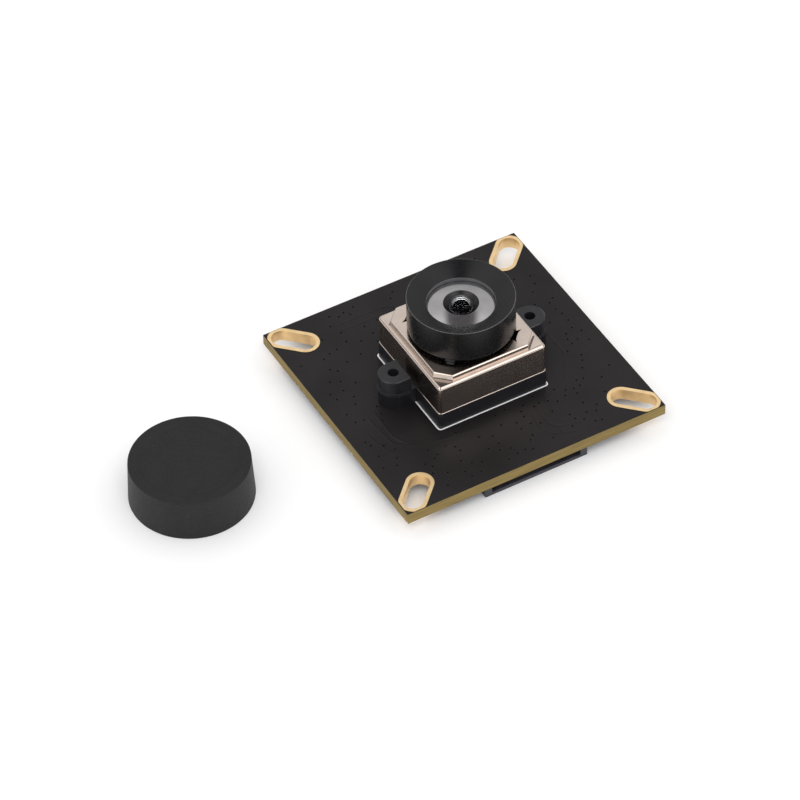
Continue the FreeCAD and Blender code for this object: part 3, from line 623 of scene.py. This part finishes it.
def via_places(rng, count, half, keep_out):
    """Scattered vias that stay clear of each other and of what stands on the board."""
    places = []
    for _ in range(count * 60):
        if len(places) == count:
            break
        x, y = rng.uniform(-half, half), rng.uniform(-half, half)
        slot = abs(abs(x) - SLOT_PLACE) + abs(abs(y) - SLOT_PLACE) < 4.8
        part = any(a <= x <= c and b <= y <= d for a, b, c, d in keep_out)
        via = any((x - p) ** 2 + (y - q) ** 2 <= 0.75 for p, q in places)
        if not (slot or part or via):
            places.append((x, y))
    return places


TOP_TRACES = (
    [(-14.9, -1.0), (-14.8, -3.2), (-14.4, -7.2), (-12.5, -8.6), (-9.1, -9.6), (-4.0, -10.2)],
    [(-13.7, -1.0), (-13.7, -5.9), (-12.9, -7.8), (-9.6, -9.1)],
    [(-16.5, -3.2), (-16.2, -5.6), (-15.5, -8.0), (-12.3, -9.6), (-8.8, -10.8)],
    [(3.4, -11.6), (3.3, -14.6), (4.0, -16.1), (7.2, -17.2)],
    [(4.6, -10.9), (4.5, -14.2), (5.2, -15.3), (8.6, -16.1)],
    [(12.9, 6.8), (12.9, -4.2), (10.4, -8.6), (6.2, -10.4)],
    [(-10.2, 15.6), (-3.0, 15.6), (0.6, 13.2), (9.4, 13.2)],
    [(-9.8, 14.4), (-3.4, 14.4), (0.0, 12.1), (9.0, 12.1)],
)
UNDER_POURS = (
    ([(-11.6, 9.6), (-11.6, 13.0), (-9.0, 15.2), (-8.2, 15.2)], 1.2),
    ([(-12.2, 5.4), (-9.4, 5.4), (-8.4, 3.0), (-8.4, -4.0)], 0.8),
    ([(12.4, 10.4), (15.6, 8.4), (15.6, 6.6)], 0.7),
    ([(-3.2, -8.2), (1.2, -8.2), (4.6, -7.6), (7.2, -7.6)], 0.5),
    ([(2.2, 9.2), (6.2, 9.2), (8.2, 8.4)], 0.5),
)


class CAMERA_MODULE_OT_board(bpy.types.Operator):
    """Build the board with its lacquer, traces, vias, pours, printed lines and gold slots"""
    bl_idname = "camera_module.board"
    bl_label = "Board"

    def execute(self, context):
        sizes = settings(context, "board")
        mask = lacquer("board_lacquer", sizes.mask)
        bm = node_mesh("board")
        for face in bm.faces:
            face.material_index = int(abs(face.normal.z) <= 0.9)
        soften(bm, 0.025 * MM, 1)
        finish_piece("board_laminate", bm, [mask, laminate("laminate", sizes.laminate)],
                     nodes=["board"])
        self.relief(sizes, mask)
        self.print_lines(sizes)
        rings = [f"slot_ring_{k}" for k in range(1, 5)]
        softened("gold_slot_rings", rings, 0.02, 2, gold("gold_plating", sizes.gold))
        return {"FINISHED"}

    def relief(self, sizes, mask):
        """Copper under the lacquer: traces on top, pours underneath, and vias on both faces."""
        bm = bmesh.new()
        for path in TOP_TRACES:
            strip(bm, rounded(path, 1.2, 6), 0.32, BOARD_TOP, 0.03, 0.07)
        for path, width in UNDER_POURS:
            strip(bm, rounded(path, 1.6, 6), width, BOARD_FOOT, -0.025, 0.05)
        rng = random.Random(11)
        radius = sizes.via_radius / MM
        shapes = (((1.0, 0.0), (0.82, 0.018), (0.5, 0.018)),
                  ((0.5, 0.018), (0.25, 0.006), (0.0, 0.003)))
        faces = ((BOARD_TOP, 1, [(-12.7, -8.6, 12.7, 8.6)]),
                 (BOARD_FOOT, -1, [
                     (-8.6, -19, 8.6, -12.2), (-8.2, -8.2, 8.2, 8.2), (-16.2, -7, -11.5, 8),
                     (7, -11, 12, -5), (-11, -10.4, -6.4, -6.4), (-9, 13.8, 9, 16.8),
                     (-7, 10.6, 7, 12.6), (14.2, -6, 16.6, 5.4), (-4.4, -11.4, 4.4, -9.4),
                     (8, 6, 11.2, 9.2), (-12.6, -2.4, 12.6, 2.4)]))
        for level, up, keep_out in faces:
            for x, y in via_places(rng, sizes.via_count, 17.6, keep_out):
                for index, shape in enumerate(shapes):
                    lathe(bm, [(radius * r, level + up * z) for r, z in shape], 12, (x, y), index)
        # The vias' middles take a painted shade, near black and without reflection, for the shade
        # in the hole beneath the lacquer.
        finish_piece("copper_relief", metres(bm), [mask, via_hole_shade("via_dimple", sizes.mask)])

    def print_lines(self, sizes):
        """Printed square round the holder, and part outlines on the underside."""
        bm = bmesh.new()
        half = sizes.frame_side / MM / 2
        square = [(-half, -half), (half, -half), (half, half), (-half, half)]
        path = rounded(square, 0.45, 5, closed=True)
        strip(bm, path, sizes.frame_line / MM, BOARD_TOP, 0.014, 0.01, closed=True)
        gap = Vector((0.3, 0.3))
        for node in (*REGULATORS, "motor_driver", "memory_chip", "oscillator", *TANTALUMS,
                     "ffc_housing"):
            one, two = box_mm(node)
            (left, near), (right, far) = one.xy - gap, two.xy + gap
            path = [(left, near), (right, near), (right, far), (left, far)]
            path = rounded(path, 0.15, 3, closed=True)
            strip(bm, path, 0.12, BOARD_FOOT, -0.014, 0.01, closed=True)
        finish_piece("printed_lines", metres(bm), [ink("printed_ink", sizes.ink)])


class CAMERA_MODULE_OT_holder(bpy.types.Operator):
    """Build the moulded lens holder with its ears, and the screws in them"""
    bl_idname = "camera_module.holder"
    bl_label = "Holder and screws"

    def execute(self, context):
        sizes = settings(context, "holder")
        plastic = moulded("holder_plastic", sizes.plastic, 0.4, 5.0, 0.008, 0.45)
        bm = soften(self.flat_ears(node_mesh("lens_holder")), sizes.edge, 2)
        join(bm, self.parting_lines())
        finish_piece("holder_moulding", bm, [plastic],
                     nodes=["lens_holder"])
        steel = plated("screw_steel", sizes.steel, 0.28, (1, 1, 1))
        bm = soften(node_mesh("holder_screws"), 0.05 * MM, 2)
        self.thread(bm)
        finish_piece("holder_screw_pair", bm, [steel],
                     nodes=["holder_screws"])
        return {"FINISHED"}

    def flat_ears(self, bm):
        """Straightens the side of each ear that faces the can."""
        foot, chamfer = 4.05, 6.08
        for vert in bm.verts:
            x, y, z = vert.co / MM
            if abs(y) < 1.3 and 8.1 < abs(x) < 8.75 and z > foot:
                face = EAR_FACE + max(0.0, z - chamfer)
                vert.co.x = math.copysign(max(abs(x), face), x) * MM
        bmesh.ops.remove_doubles(bm, verts=bm.verts, dist=2e-6)
        bmesh.ops.dissolve_limit(bm, angle_limit=math.radians(0.5), verts=bm.verts,
                                 edges=bm.edges, use_dissolve_boundaries=False)
        return bm

    def parting_lines(self):
        """Thin mould line round each ear, just under the holder's top."""
        bm = bmesh.new()
        level, out, radius = box_mm("motor_base")[0].z - 0.36, 0.05, 2.06
        section = [(-0.02, out), (0.0, out), (out * 0.8, out / 2), (out * 0.8, -out / 2),
                   (0.0, -out), (-0.02, -out)]
        for side in (-1, 1):
            turn = [(side * (EAR_PLACE + radius * math.sin(a)), side * radius * math.cos(a))
                    for a in (math.pi * k / 32 for k in range(33))]
            path = [(side * EAR_FACE, side * radius), *turn, (side * EAR_FACE, -side * radius)]
            sweep(bm, path, [(x, level + z) for x, z in section])
        return metres(bm)

    def thread(self, bm):
        """Coarse self-tapping thread round each screw's core."""
        low, high = box_mm("holder_screws")
        place = (high.x - low.x) / 2 - 2.0
        for side in (-1, 1):
            rows = []
            turns, sides = 8, 20
            for i in range(turns * sides + 1):
                angle = 2 * math.pi * i / sides
                level = 0.35 + 0.42 * i / sides
                fade = min(1.0, i / sides, (turns * sides - i) / sides)
                rows.append([bm.verts.new(Vector((side * place + r * math.cos(angle),
                                                  r * math.sin(angle), level + dz)) * MM)
                             for r, dz in ((0.68, -0.09), (0.7 + 0.012 * fade, 0.0),
                                           (0.68, 0.09))])
            skin(bm, rows)


class CAMERA_MODULE_OT_motor(bpy.types.Operator):
    """Build the focus motor: drawn can, terminals, springs, coil and magnets"""
    bl_idname = "camera_module.motor"
    bl_label = "Focus motor"

    def execute(self, context):
        sizes = settings(context, "motor")
        can = plated("nickel_can", sizes.can, 0.2, (0.2, 0.5, 0.06), 0.0005, 0.015)
        bm = self.steep_step(node_mesh("motor_can"), sizes.step_slope)
        bm = soften(bm, sizes.edge, 3, 25.0)
        self.rolled_foot(bm, sizes.foot / MM)
        finish_piece("drawn_can", bm, [can], nodes=["motor_can"])
        tin = plated("tinned", settings(context, "connector").tin, 0.3)
        softened("motor_terminals", TERMINALS, 0.03, 2, tin)
        self.solder(tin)
        dress(moulded("motor_plastic", linear(10, 10, 11), 0.6, gloss=0.1), "motor_base",
              "motor_top_spacer", "lens_carrier")
        dress(plated("magnet_nickel", linear(176, 172, 166), 0.25),
              *(f"motor_magnet_{k}" for k in range(1, 5)))
        dress(plated("spring_bronze", linear(84, 68, 50), 0.3), "lower_spring", "upper_spring")
        dress(plated("coil_copper", sizes.copper, 0.3, (1.0, 1.0, 14.0)), "motor_coil")
        return {"FINISHED"}

    def steep_step(self, bm, slope):
        """Brings the foot of the step round the raised top in under its upper edge."""
        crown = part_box("motor_can")[1].z
        raised = crown - 0.05 * MM
        half = max(v.co.x for v in bm.verts if v.co.z > raised)
        moved = set()
        for edge in bm.edges:
            low, high = sorted(edge.verts, key=lambda v: v.co.z)
            far = max(abs(high.co.x), abs(high.co.y)) > half - 2.5 * MM
            steep = high.co.z > raised and low.co.z < crown - 0.5 * MM
            if far and steep and high.co.xy.length > half and low not in moved:
                moved.add(low)
                low.co.xy = high.co.xy * ((half + slope) / half)
                low.co.z = crown - 0.8 * MM
        rim = [e for e in bm.edges if all(v.co.z > raised and v.co.xy.length > half * 1.1
                                          for v in e.verts)]
        bmesh.ops.bevel(bm, geom=rim, offset=0.17 * MM, segments=3, profile=0.5,
                        affect="EDGES", clamp_overlap=False, material=-1)
        return bm

    def rolled_foot(self, bm, reach):
        """Thin flare round the can's lower edge, between the two terminals' notches."""
        low, high = box_mm("motor_can")
        half = high.x
        start = min(abs(box_mm("motor_terminal_1")[0].x) + 1.0, half - 0.5)
        path = rounded([(start, half), (half, half), (half, -half), (-half, -half), (-half, half),
                        (-start, half)], 0.5, 6)
        foot = bmesh.new()
        sweep(foot, path, [(-0.02, low.z + reach), (0.0, low.z + reach), (reach, low.z + 0.01),
                           (reach, low.z), (-0.02, low.z)])
        join(bm, metres(foot))

    def solder(self, tin):
        """Solder where the motor's terminals meet the board."""
        bm = bmesh.new()
        for node in TERMINALS:
            low, high = box_mm(node)
            bead(bm, (low.x + high.x) / 2, high.y + 0.1, 0.6, 0.5, BOARD_TOP, 0.4)
        finish_piece("terminal_solder", metres(bm), [tin])


class CAMERA_MODULE_OT_lens(bpy.types.Operator):
    """Build the lens: barrel, front glass, spacers and inner elements"""
    bl_idname = "camera_module.lens"
    bl_label = "Lens"

    def execute(self, context):
        sizes = settings(context, "lens")
        black = turned("barrel_black", sizes.barrel, 0.26, 0.06, gloss=0.3)
        self.barrel(sizes, black)
        self.glass(sizes)
        return {"FINISHED"}

    def barrel(self, sizes, black):
        """Head with its cone and lip, and the threaded neck."""
        foot, top = BARREL_LOW.z, BARREL_HIGH.z
        outer = BARREL_HIGH.x
        neck = outer - 1.0
        head = top - HEAD_HEIGHT
        lip = top - CONE_DEPTH
        shoulder = lip - LIP_DEPTH
        profile = rounded([(4.45, shoulder), (4.45, lip), (outer - 0.25, top), (outer, top),
                           (outer, head), (neck, head), (neck, head - 0.3)],
                          [0.0, 0.05, 0.05, 0.1, 0.16, 0.05, 0.0])
        pitch = sizes.thread_pitch / MM
        depth = sizes.thread_depth / MM
        level = head - 0.3
        while level - pitch > foot + 0.3:
            profile += [(neck - depth, level - pitch * 0.4), (neck - depth, level - pitch * 0.55),
                        (neck, level - pitch * 0.95), (neck, level - pitch)]
            level -= pitch
        profile += [(neck, foot + 0.2), (neck - 0.2, foot), (4.95, foot), (4.95, shoulder)]
        bm = lathe(bmesh.new(), profile, 180, closed=True)
        # The rim and the lip's inner wall take the lighter grey: a painted highlight on the rim
        # and painted light on the wall.
        for face in bm.faces:
            middle = face.calc_center_median()
            far = middle.xy.length
            rim = far > outer - 0.07 and middle.z > top - 0.07
            if rim or far < 4.52 and shoulder + 0.05 < middle.z < lip + 0.04:
                face.material_index = 1
        worn = turned("worn_edge", sizes.worn, 0.3, 0.06, gloss=0.5)
        finish_piece("turned_barrel", metres(bm), [black, worn], "focus_unit",
                     ["lens_barrel"])

    def baffle(self, bm, base, hollow):
        """Black sleeve inside the shell, with two polished chamfers on its inner side."""
        gap, chamfer = 0.045, 0.055
        levels = [0.03, 0.12, 0.24, 0.295, 0.485, 0.54]
        outer = [(math.sqrt((hollow - gap) ** 2 - z ** 2), base + z) for z in levels]
        wide = outer[-1][0] - 0.02
        radii = [wide - 2 * chamfer] * 3 + [wide - chamfer] * 2 + [wide]
        inner = [(r, base + z) for r, z in zip(radii, levels)]
        lathe(bm, outer, 120, index=2)
        for k, (low, high) in enumerate(zip(inner, inner[1:])):
            lathe(bm, [low, high], 120, index=3 if k in (2, 4) else 2)
        lathe(bm, [inner[-1], outer[-1]], 120, index=2)

    def glass(self, sizes):
        """Front glass: satin collar on a dome, black funnel, clear shell over a dark well."""
        shoulder = BARREL_HIGH.z - CONE_DEPTH - LIP_DEPTH
        dome, ball = sizes.dome_radius / MM, sizes.ball_radius / MM
        wall, pupil = sizes.ball_wall / MM, sizes.pupil_radius / MM
        rim, edge = 4.4, 4.88
        inner = ball + 0.74
        drop = math.sqrt(dome ** 2 - rim ** 2)
        rise = [(r, shoulder + math.sqrt(dome ** 2 - r ** 2) - drop)
                for r in (inner + (rim - inner) * k / 20 for k in range(21))]
        seat = rise[0][1] - 0.61
        well = seat - 0.85
        low = shoulder - 0.78
        bm = lathe(bmesh.new(), rise, 160, index=1)
        lathe(bm, rounded([(pupil, well), (pupil + 0.06, seat - 0.05), (ball + 0.02, seat),
                           (inner - 0.06, rise[0][1] - 0.06), rise[0]], 0.05, 3), 160,
              index=2)
        lathe(bm, [rise[-1], (rim + 0.02, shoulder - 0.02), (edge, shoulder - 0.02), (edge, low),
                   (pupil + 0.3, low), (pupil + 0.3, well), (pupil, well)], 160, index=2)
        bmesh.ops.remove_doubles(bm, verts=bm.verts, dist=1e-5)
        turns = [math.pi / 2 * k / 28 for k in range(29)]
        base = seat + 0.003
        hollow = ball - wall
        shell = [(r * math.cos(a), base + r * math.sin(a))
                 for r, way in ((ball, turns), (hollow, turns[::-1])) for a in way]
        lathe(bm, shell, 160, closed=True)
        for face in bm.faces:
            middle = face.calc_center_median()
            if abs(middle.z - base) < 1e-4 and hollow < middle.xy.length < ball:
                face.material_index = 2
        self.baffle(bm, base, hollow)
        collar = turned("satin_collar", sizes.collar, 0.12, 0.11, metal=0.9)
        dark = turned("dark_inside", linear(16, 15, 16), 0.3, 0.1, gloss=0.4)
        bright = turned("bright_edges", linear(205, 205, 206), 0.25, 0.1, metal=1.0)
        finish_piece("front_glass", metres(bm), [clear_glass("lens_glass"), collar, dark, bright],
                     "focus_unit", ["front_element"], 40.0)
        # The inner elements are opaque and near black, with a faint purple coat: painted shade
        # for the dark inside of the lens.
        painted_shade_glass = coated_glass("coated_glass", linear(20, 14, 20), 0.12, 0.0)
        dress(painted_shade_glass, "second_element", "third_element", "rear_element")
        dress(dark, "front_spacer", "aperture_stop", "rear_spacer", "rear_retainer")
        dress(moulded("sensor_ceramic", linear(70, 62, 58), 0.5), "sensor_package")
        dress(coated_glass("sensor_die", linear(52, 60, 84)), "sensor_die")
        dress(coated_glass("sensor_window", linear(60, 72, 70)), "sensor_glass")
        dress(coated_glass("infrared_filter", linear(86, 60, 70)), "ir_filter")


class CAMERA_MODULE_OT_connector(bpy.types.Operator):
    """Build the flat-cable connector: housing, slider, contacts and anchors"""
    bl_idname = "camera_module.connector"
    bl_label = "Cable connector"

    def execute(self, context):
        sizes = settings(context, "connector")
        housing = moulded("connector_housing", sizes.housing, 0.45)
        slider = moulded("connector_slider", sizes.slider, 0.4)
        tin = plated("tinned", sizes.tin, 0.3)
        softened("connector_body", ["ffc_housing"], 0.03, 1, housing)
        softened("lock_slider", ["ffc_slider"], 0.05, 2, slider, "cable_lock")
        softened("contact_row", ["ffc_contacts"], 0.02, 1, tin)
        softened("anchor_pair", ["ffc_anchor_1", "ffc_anchor_2"], 0.03, 1, tin)
        return {"FINISHED"}


class CAMERA_MODULE_OT_underside(bpy.types.Operator):
    """Build the parts and solder joints on the underside"""
    bl_idname = "camera_module.underside"
    bl_label = "Underside parts"

    def execute(self, context):
        tin = plated("tinned", settings(context, "connector").tin, 0.3)
        epoxy = moulded("chip_epoxy", linear(40, 40, 43), 0.5, 8.0)
        tan = moulded("ceramic_tan", linear(150, 118, 84), 0.45, 8.0)
        black = moulded("resistor_black", linear(28, 28, 30), 0.4)
        grey = moulded("ferrite_grey", linear(84, 82, 84), 0.5)
        yellow = moulded("tantalum_case", linear(196, 140, 52), 0.5, 8.0)
        metal_lid = plated("oscillator_lid", linear(188, 182, 168), 0.3)
        for node in REGULATORS:
            self.leaded(node, epoxy, tin, 0, 0.8)
        self.leaded("memory_chip", epoxy, tin, 1, 1.2)
        self.ended("capacitors", tan, tin, 0.25, "capacitor_tan")
        self.ended("resistors", black, tin, 0.25, "chip_black")
        self.ended("ferrite_beads", grey, tin, 0.25, "chip_black")
        for node in TANTALUMS:
            self.ended(node, yellow, tin, 0.12, "tantalum_yellow")
        softened("motor_driver_case", ["motor_driver"], 0.03, 2, epoxy)
        softened("oscillator_case", ["oscillator"], 0.06, 2, metal_lid)
        self.solder(tin)
        return {"FINISHED"}

    def leaded(self, node, epoxy, tin, axis, half):
        """Chip whose leads leave the body on two sides."""
        bm = node_mesh(node)
        low, high = islands(bm)[0]
        middle = (low + high) / 2
        for face in bm.faces:
            away = face.calc_center_median() - middle
            face.material_index = int(abs(away[axis]) > (half + 0.01) * MM)
        soften(bm, 0.03 * MM, 1)
        finish_piece(node + "_case", bm, [epoxy, tin], nodes=[node])

    def ended(self, node, case, tin, end, slot):
        """Two-ended chips: the case in the middle, metal at both ends."""
        bm = node_mesh(node)
        boxes = islands(bm)
        for face in bm.faces:
            middle = face.calc_center_median()
            for low, high in boxes:
                if all(low[k] - 1e-6 <= middle[k] <= high[k] + 1e-6 for k in range(3)):
                    size = high - low
                    axis = int(size.x <= size.y)
                    inside = min(middle[axis] - low[axis], high[axis] - middle[axis])
                    face.material_index = int(inside < end * MM)
        soften(bm, 0.025 * MM, 1)
        finish_piece(node + "_row", bm, [case, tin], nodes=[node])

    def solder(self, tin):
        """Solder at the ends and leads of every part under the board."""
        bm = bmesh.new()
        level = BOARD_FOOT
        for node in ("capacitors", "resistors", "ferrite_beads", *TANTALUMS):
            for low, high in islands(node_mesh(node)):
                low, high = low / MM, high / MM
                middle, size = (low + high) / 2, high - low
                for end in (low, high):
                    if size.x > size.y:
                        bead(bm, end.x, middle.y, 0.22, size.y / 2, level, -size.z / 2)
                    else:
                        bead(bm, middle.x, end.y, size.x / 2, 0.22, level, -size.z / 2)
        for node in REGULATORS:
            low, high = box_mm(node)
            for x in (low.x + 0.1, high.x - 0.1):
                for place in (-0.95, 0.0, 0.95):
                    bead(bm, x, (low.y + high.y) / 2 + place, 0.34, 0.3, level, -0.22)
        low, high = box_mm("memory_chip")
        for y in (low.y + 0.1, high.y - 0.1):
            for place in (-1.5, -0.5, 0.5, 1.5):
                bead(bm, (low.x + high.x) / 2 + place * 0.65, y, 0.26, 0.34, level, -0.22)
        for low, high in islands(node_mesh("ffc_contacts")):
            bead(bm, (low.x + high.x) / 2 / MM, high.y / MM, 0.16, 0.36, level, -0.2)
        finish_piece("solder_joints", metres(bm), [tin])


class CAMERA_MODULE_OT_cap(bpy.types.Operator):
    """Build the rubber lens cap that lies beside the board"""
    bl_idname = "camera_module.cap"
    bl_label = "Lens cap"

    def execute(self, context):
        sizes = settings(context, "cap")
        centre = (CAP_LOW + CAP_HIGH) / 2
        foot, top = CAP_LOW.z, CAP_HIGH.z
        wide, narrow = sizes.foot_radius / MM, sizes.top_radius / MM
        dish, depth = sizes.dish_radius / MM, sizes.dish_depth / MM
        bore, ceiling = sizes.bore_radius / MM, foot + sizes.bore_depth / MM
        outline = [(0.0, ceiling), (bore, ceiling), (bore, foot), (wide, foot),
                   (narrow + (wide - narrow) * 0.06, top - 0.3), (narrow, top), (dish, top),
                   (dish - depth * 2, top - depth), (0.0, top - depth)]
        radii = [0.0, 0.3, 0.15, 0.12, 0.3, 0.42, 0.25, 0.25, 0.0]
        profile = rounded(outline, radii, 6)
        bm = lathe(bmesh.new(), profile, 160, (centre.x, centre.y))
        finish_piece("rubber_cap", metres(bm), [rubber("soft_rubber", sizes.rubber)],
                     nodes=["lens_cap"])
        return {"FINISHED"}


class CAMERA_MODULE_OT_stage(bpy.types.Operator):
    """Set the floor, the studio light and the camera"""
    bl_idname = "camera_module.stage"
    bl_label = "Stage"

    def execute(self, context):
        sizes = settings(context, "stage")
        self.floor(sizes)
        self.tent(context, sizes)
        self.key(context, sizes)
        self.camera(context, sizes)
        context.scene.view_settings.view_transform = "Standard"
        return {"FINISHED"}

    def floor(self, sizes):
        """Pale floor, far wider than the picture."""
        bm = bmesh.new()
        bmesh.ops.create_grid(bm, x_segments=1, y_segments=1, size=1.5,
                              matrix=Matrix.Translation((0, 0, CAP_LOW.z * MM)))
        mesh = bpy.data.meshes.new("floor")
        bm.to_mesh(mesh)
        bm.free()
        mesh.materials.append(matt_floor("pale_floor", sizes.floor))
        floor = bpy.data.objects.new("floor", mesh)
        bpy.context.scene.collection.objects.link(floor)

    def tent(self, context, sizes):
        """White tent with brighter roof panels and a dark slot between them."""
        world = bpy.data.worlds.new("studio_tent")
        world.use_nodes = True
        context.scene.world = world
        paint = Paint(world.node_tree)
        x, y, up = paint.parts(paint.node("ShaderNodeTexCoord"))
        east, north = HEADING
        across = abs(x * north - y * east)
        forward = x * east + y * north
        roof = paint.step(up, 0.74, 0.84)
        rise = paint.step(up, 0.0, 0.7)
        slot = (paint.step(across, 0.19, 0.12) * paint.step(forward, 0.66, 0.6)
                * paint.step(up, 0.35, 0.45))
        light = paint.mix(rise, (0.28, 0.28, 0.29), (1.0, 1.0, 1.0))
        light = paint.mix(roof, light, (1.35, 1.35, 1.36))
        near = (paint.step(forward, -0.1, -0.3) * paint.step(up, 0.2, 0.35)
                * paint.step(across, 0.22, 0.36))
        light = paint.mix(near, light, (2.4, 2.4, 2.4))
        light = paint.mix(slot, light, (0.09, 0.085, 0.09))
        soft = paint.mix(rise, (sizes.tent * 0.3,) * 3, (sizes.tent,) * 3)
        colour = paint.mix(paint.seen(), soft, light)
        shine = paint.node("ShaderNodeBackground", None, {"Color": colour, "Strength": 1.0})
        paint.node("ShaderNodeOutputWorld", None, {"Surface": shine})

    def key(self, context, sizes):
        """Wide softbox above the camera."""
        lamp = bpy.data.lights.new("key", "AREA")
        lamp.shape = "RECTANGLE"
        lamp.size, lamp.size_y = 0.5, 0.3
        lamp.energy = sizes.key
        holder = bpy.data.objects.new("key", lamp)
        context.scene.collection.objects.link(holder)
        holder.location = Vector((-0.17, -0.3, 0.6))
        holder.rotation_euler = (-holder.location).to_track_quat("-Z", "Y").to_euler()
        holder.visible_glossy = False

    def camera(self, context, sizes):
        """Camera at the photograph's angle."""
        data = bpy.data.cameras.new("camera")
        data.sensor_width = 36.0
        data.lens = sizes.focal
        data.clip_start, data.clip_end = 0.01, 10.0
        camera = bpy.data.objects.new("camera", data)
        context.scene.collection.objects.link(camera)
        camera.matrix_world = Matrix(CAMERA)
        context.scene.camera = camera


CAMERA = ((0.868442, 0.363029, -0.337666, -0.210922),
          (-0.495211, 0.602224, -0.626172, -0.373905),
          (-0.023968, 0.711011, 0.702773, 0.420469),
          (0.0, 0.0, 0.0, 1.0))
HEADING = (0.491, 0.871)  # away from the camera, seen from above


class CAMERA_MODULE_PT_sidebar(bpy.types.Panel):
    """Lists the pieces of the camera module"""
    bl_idname = "CAMERA_MODULE_PT_sidebar"
    bl_label = "Camera Module"
    bl_space_type = "VIEW_3D"
    bl_region_type = "UI"
    bl_category = "Camera Module"

    def draw(self, context):
        for operator in OPERATORS:
            self.layout.operator(operator.bl_idname)
        for group, kind in SETTINGS.items():
            box = self.layout.box()
            box.label(text=group.capitalize())
            for key in kind.__annotations__:
                box.prop(settings(context, group), key)


OPERATORS = (CAMERA_MODULE_OT_stage, CAMERA_MODULE_OT_board, CAMERA_MODULE_OT_holder,
             CAMERA_MODULE_OT_motor, CAMERA_MODULE_OT_lens, CAMERA_MODULE_OT_connector,
             CAMERA_MODULE_OT_underside, CAMERA_MODULE_OT_cap)


def register():
    for group, kind in SETTINGS.items():
        bpy.utils.register_class(kind)
        setattr(bpy.types.Scene, "camera_module_" + group, bpy.props.PointerProperty(type=kind))
    for kind in (*OPERATORS, CAMERA_MODULE_PT_sidebar):
        bpy.utils.register_class(kind)


def unregister():
    for kind in (CAMERA_MODULE_PT_sidebar, *reversed(OPERATORS)):
        bpy.utils.unregister_class(kind)
    for group, kind in reversed(list(SETTINGS.items())):
        delattr(bpy.types.Scene, "camera_module_" + group)
        bpy.utils.unregister_class(kind)


def main():
    register()
    for operator in OPERATORS:
        group, name = operator.bl_idname.split(".")
        getattr(getattr(bpy.ops, group), name)()


if __name__ == "__main__":
    main()
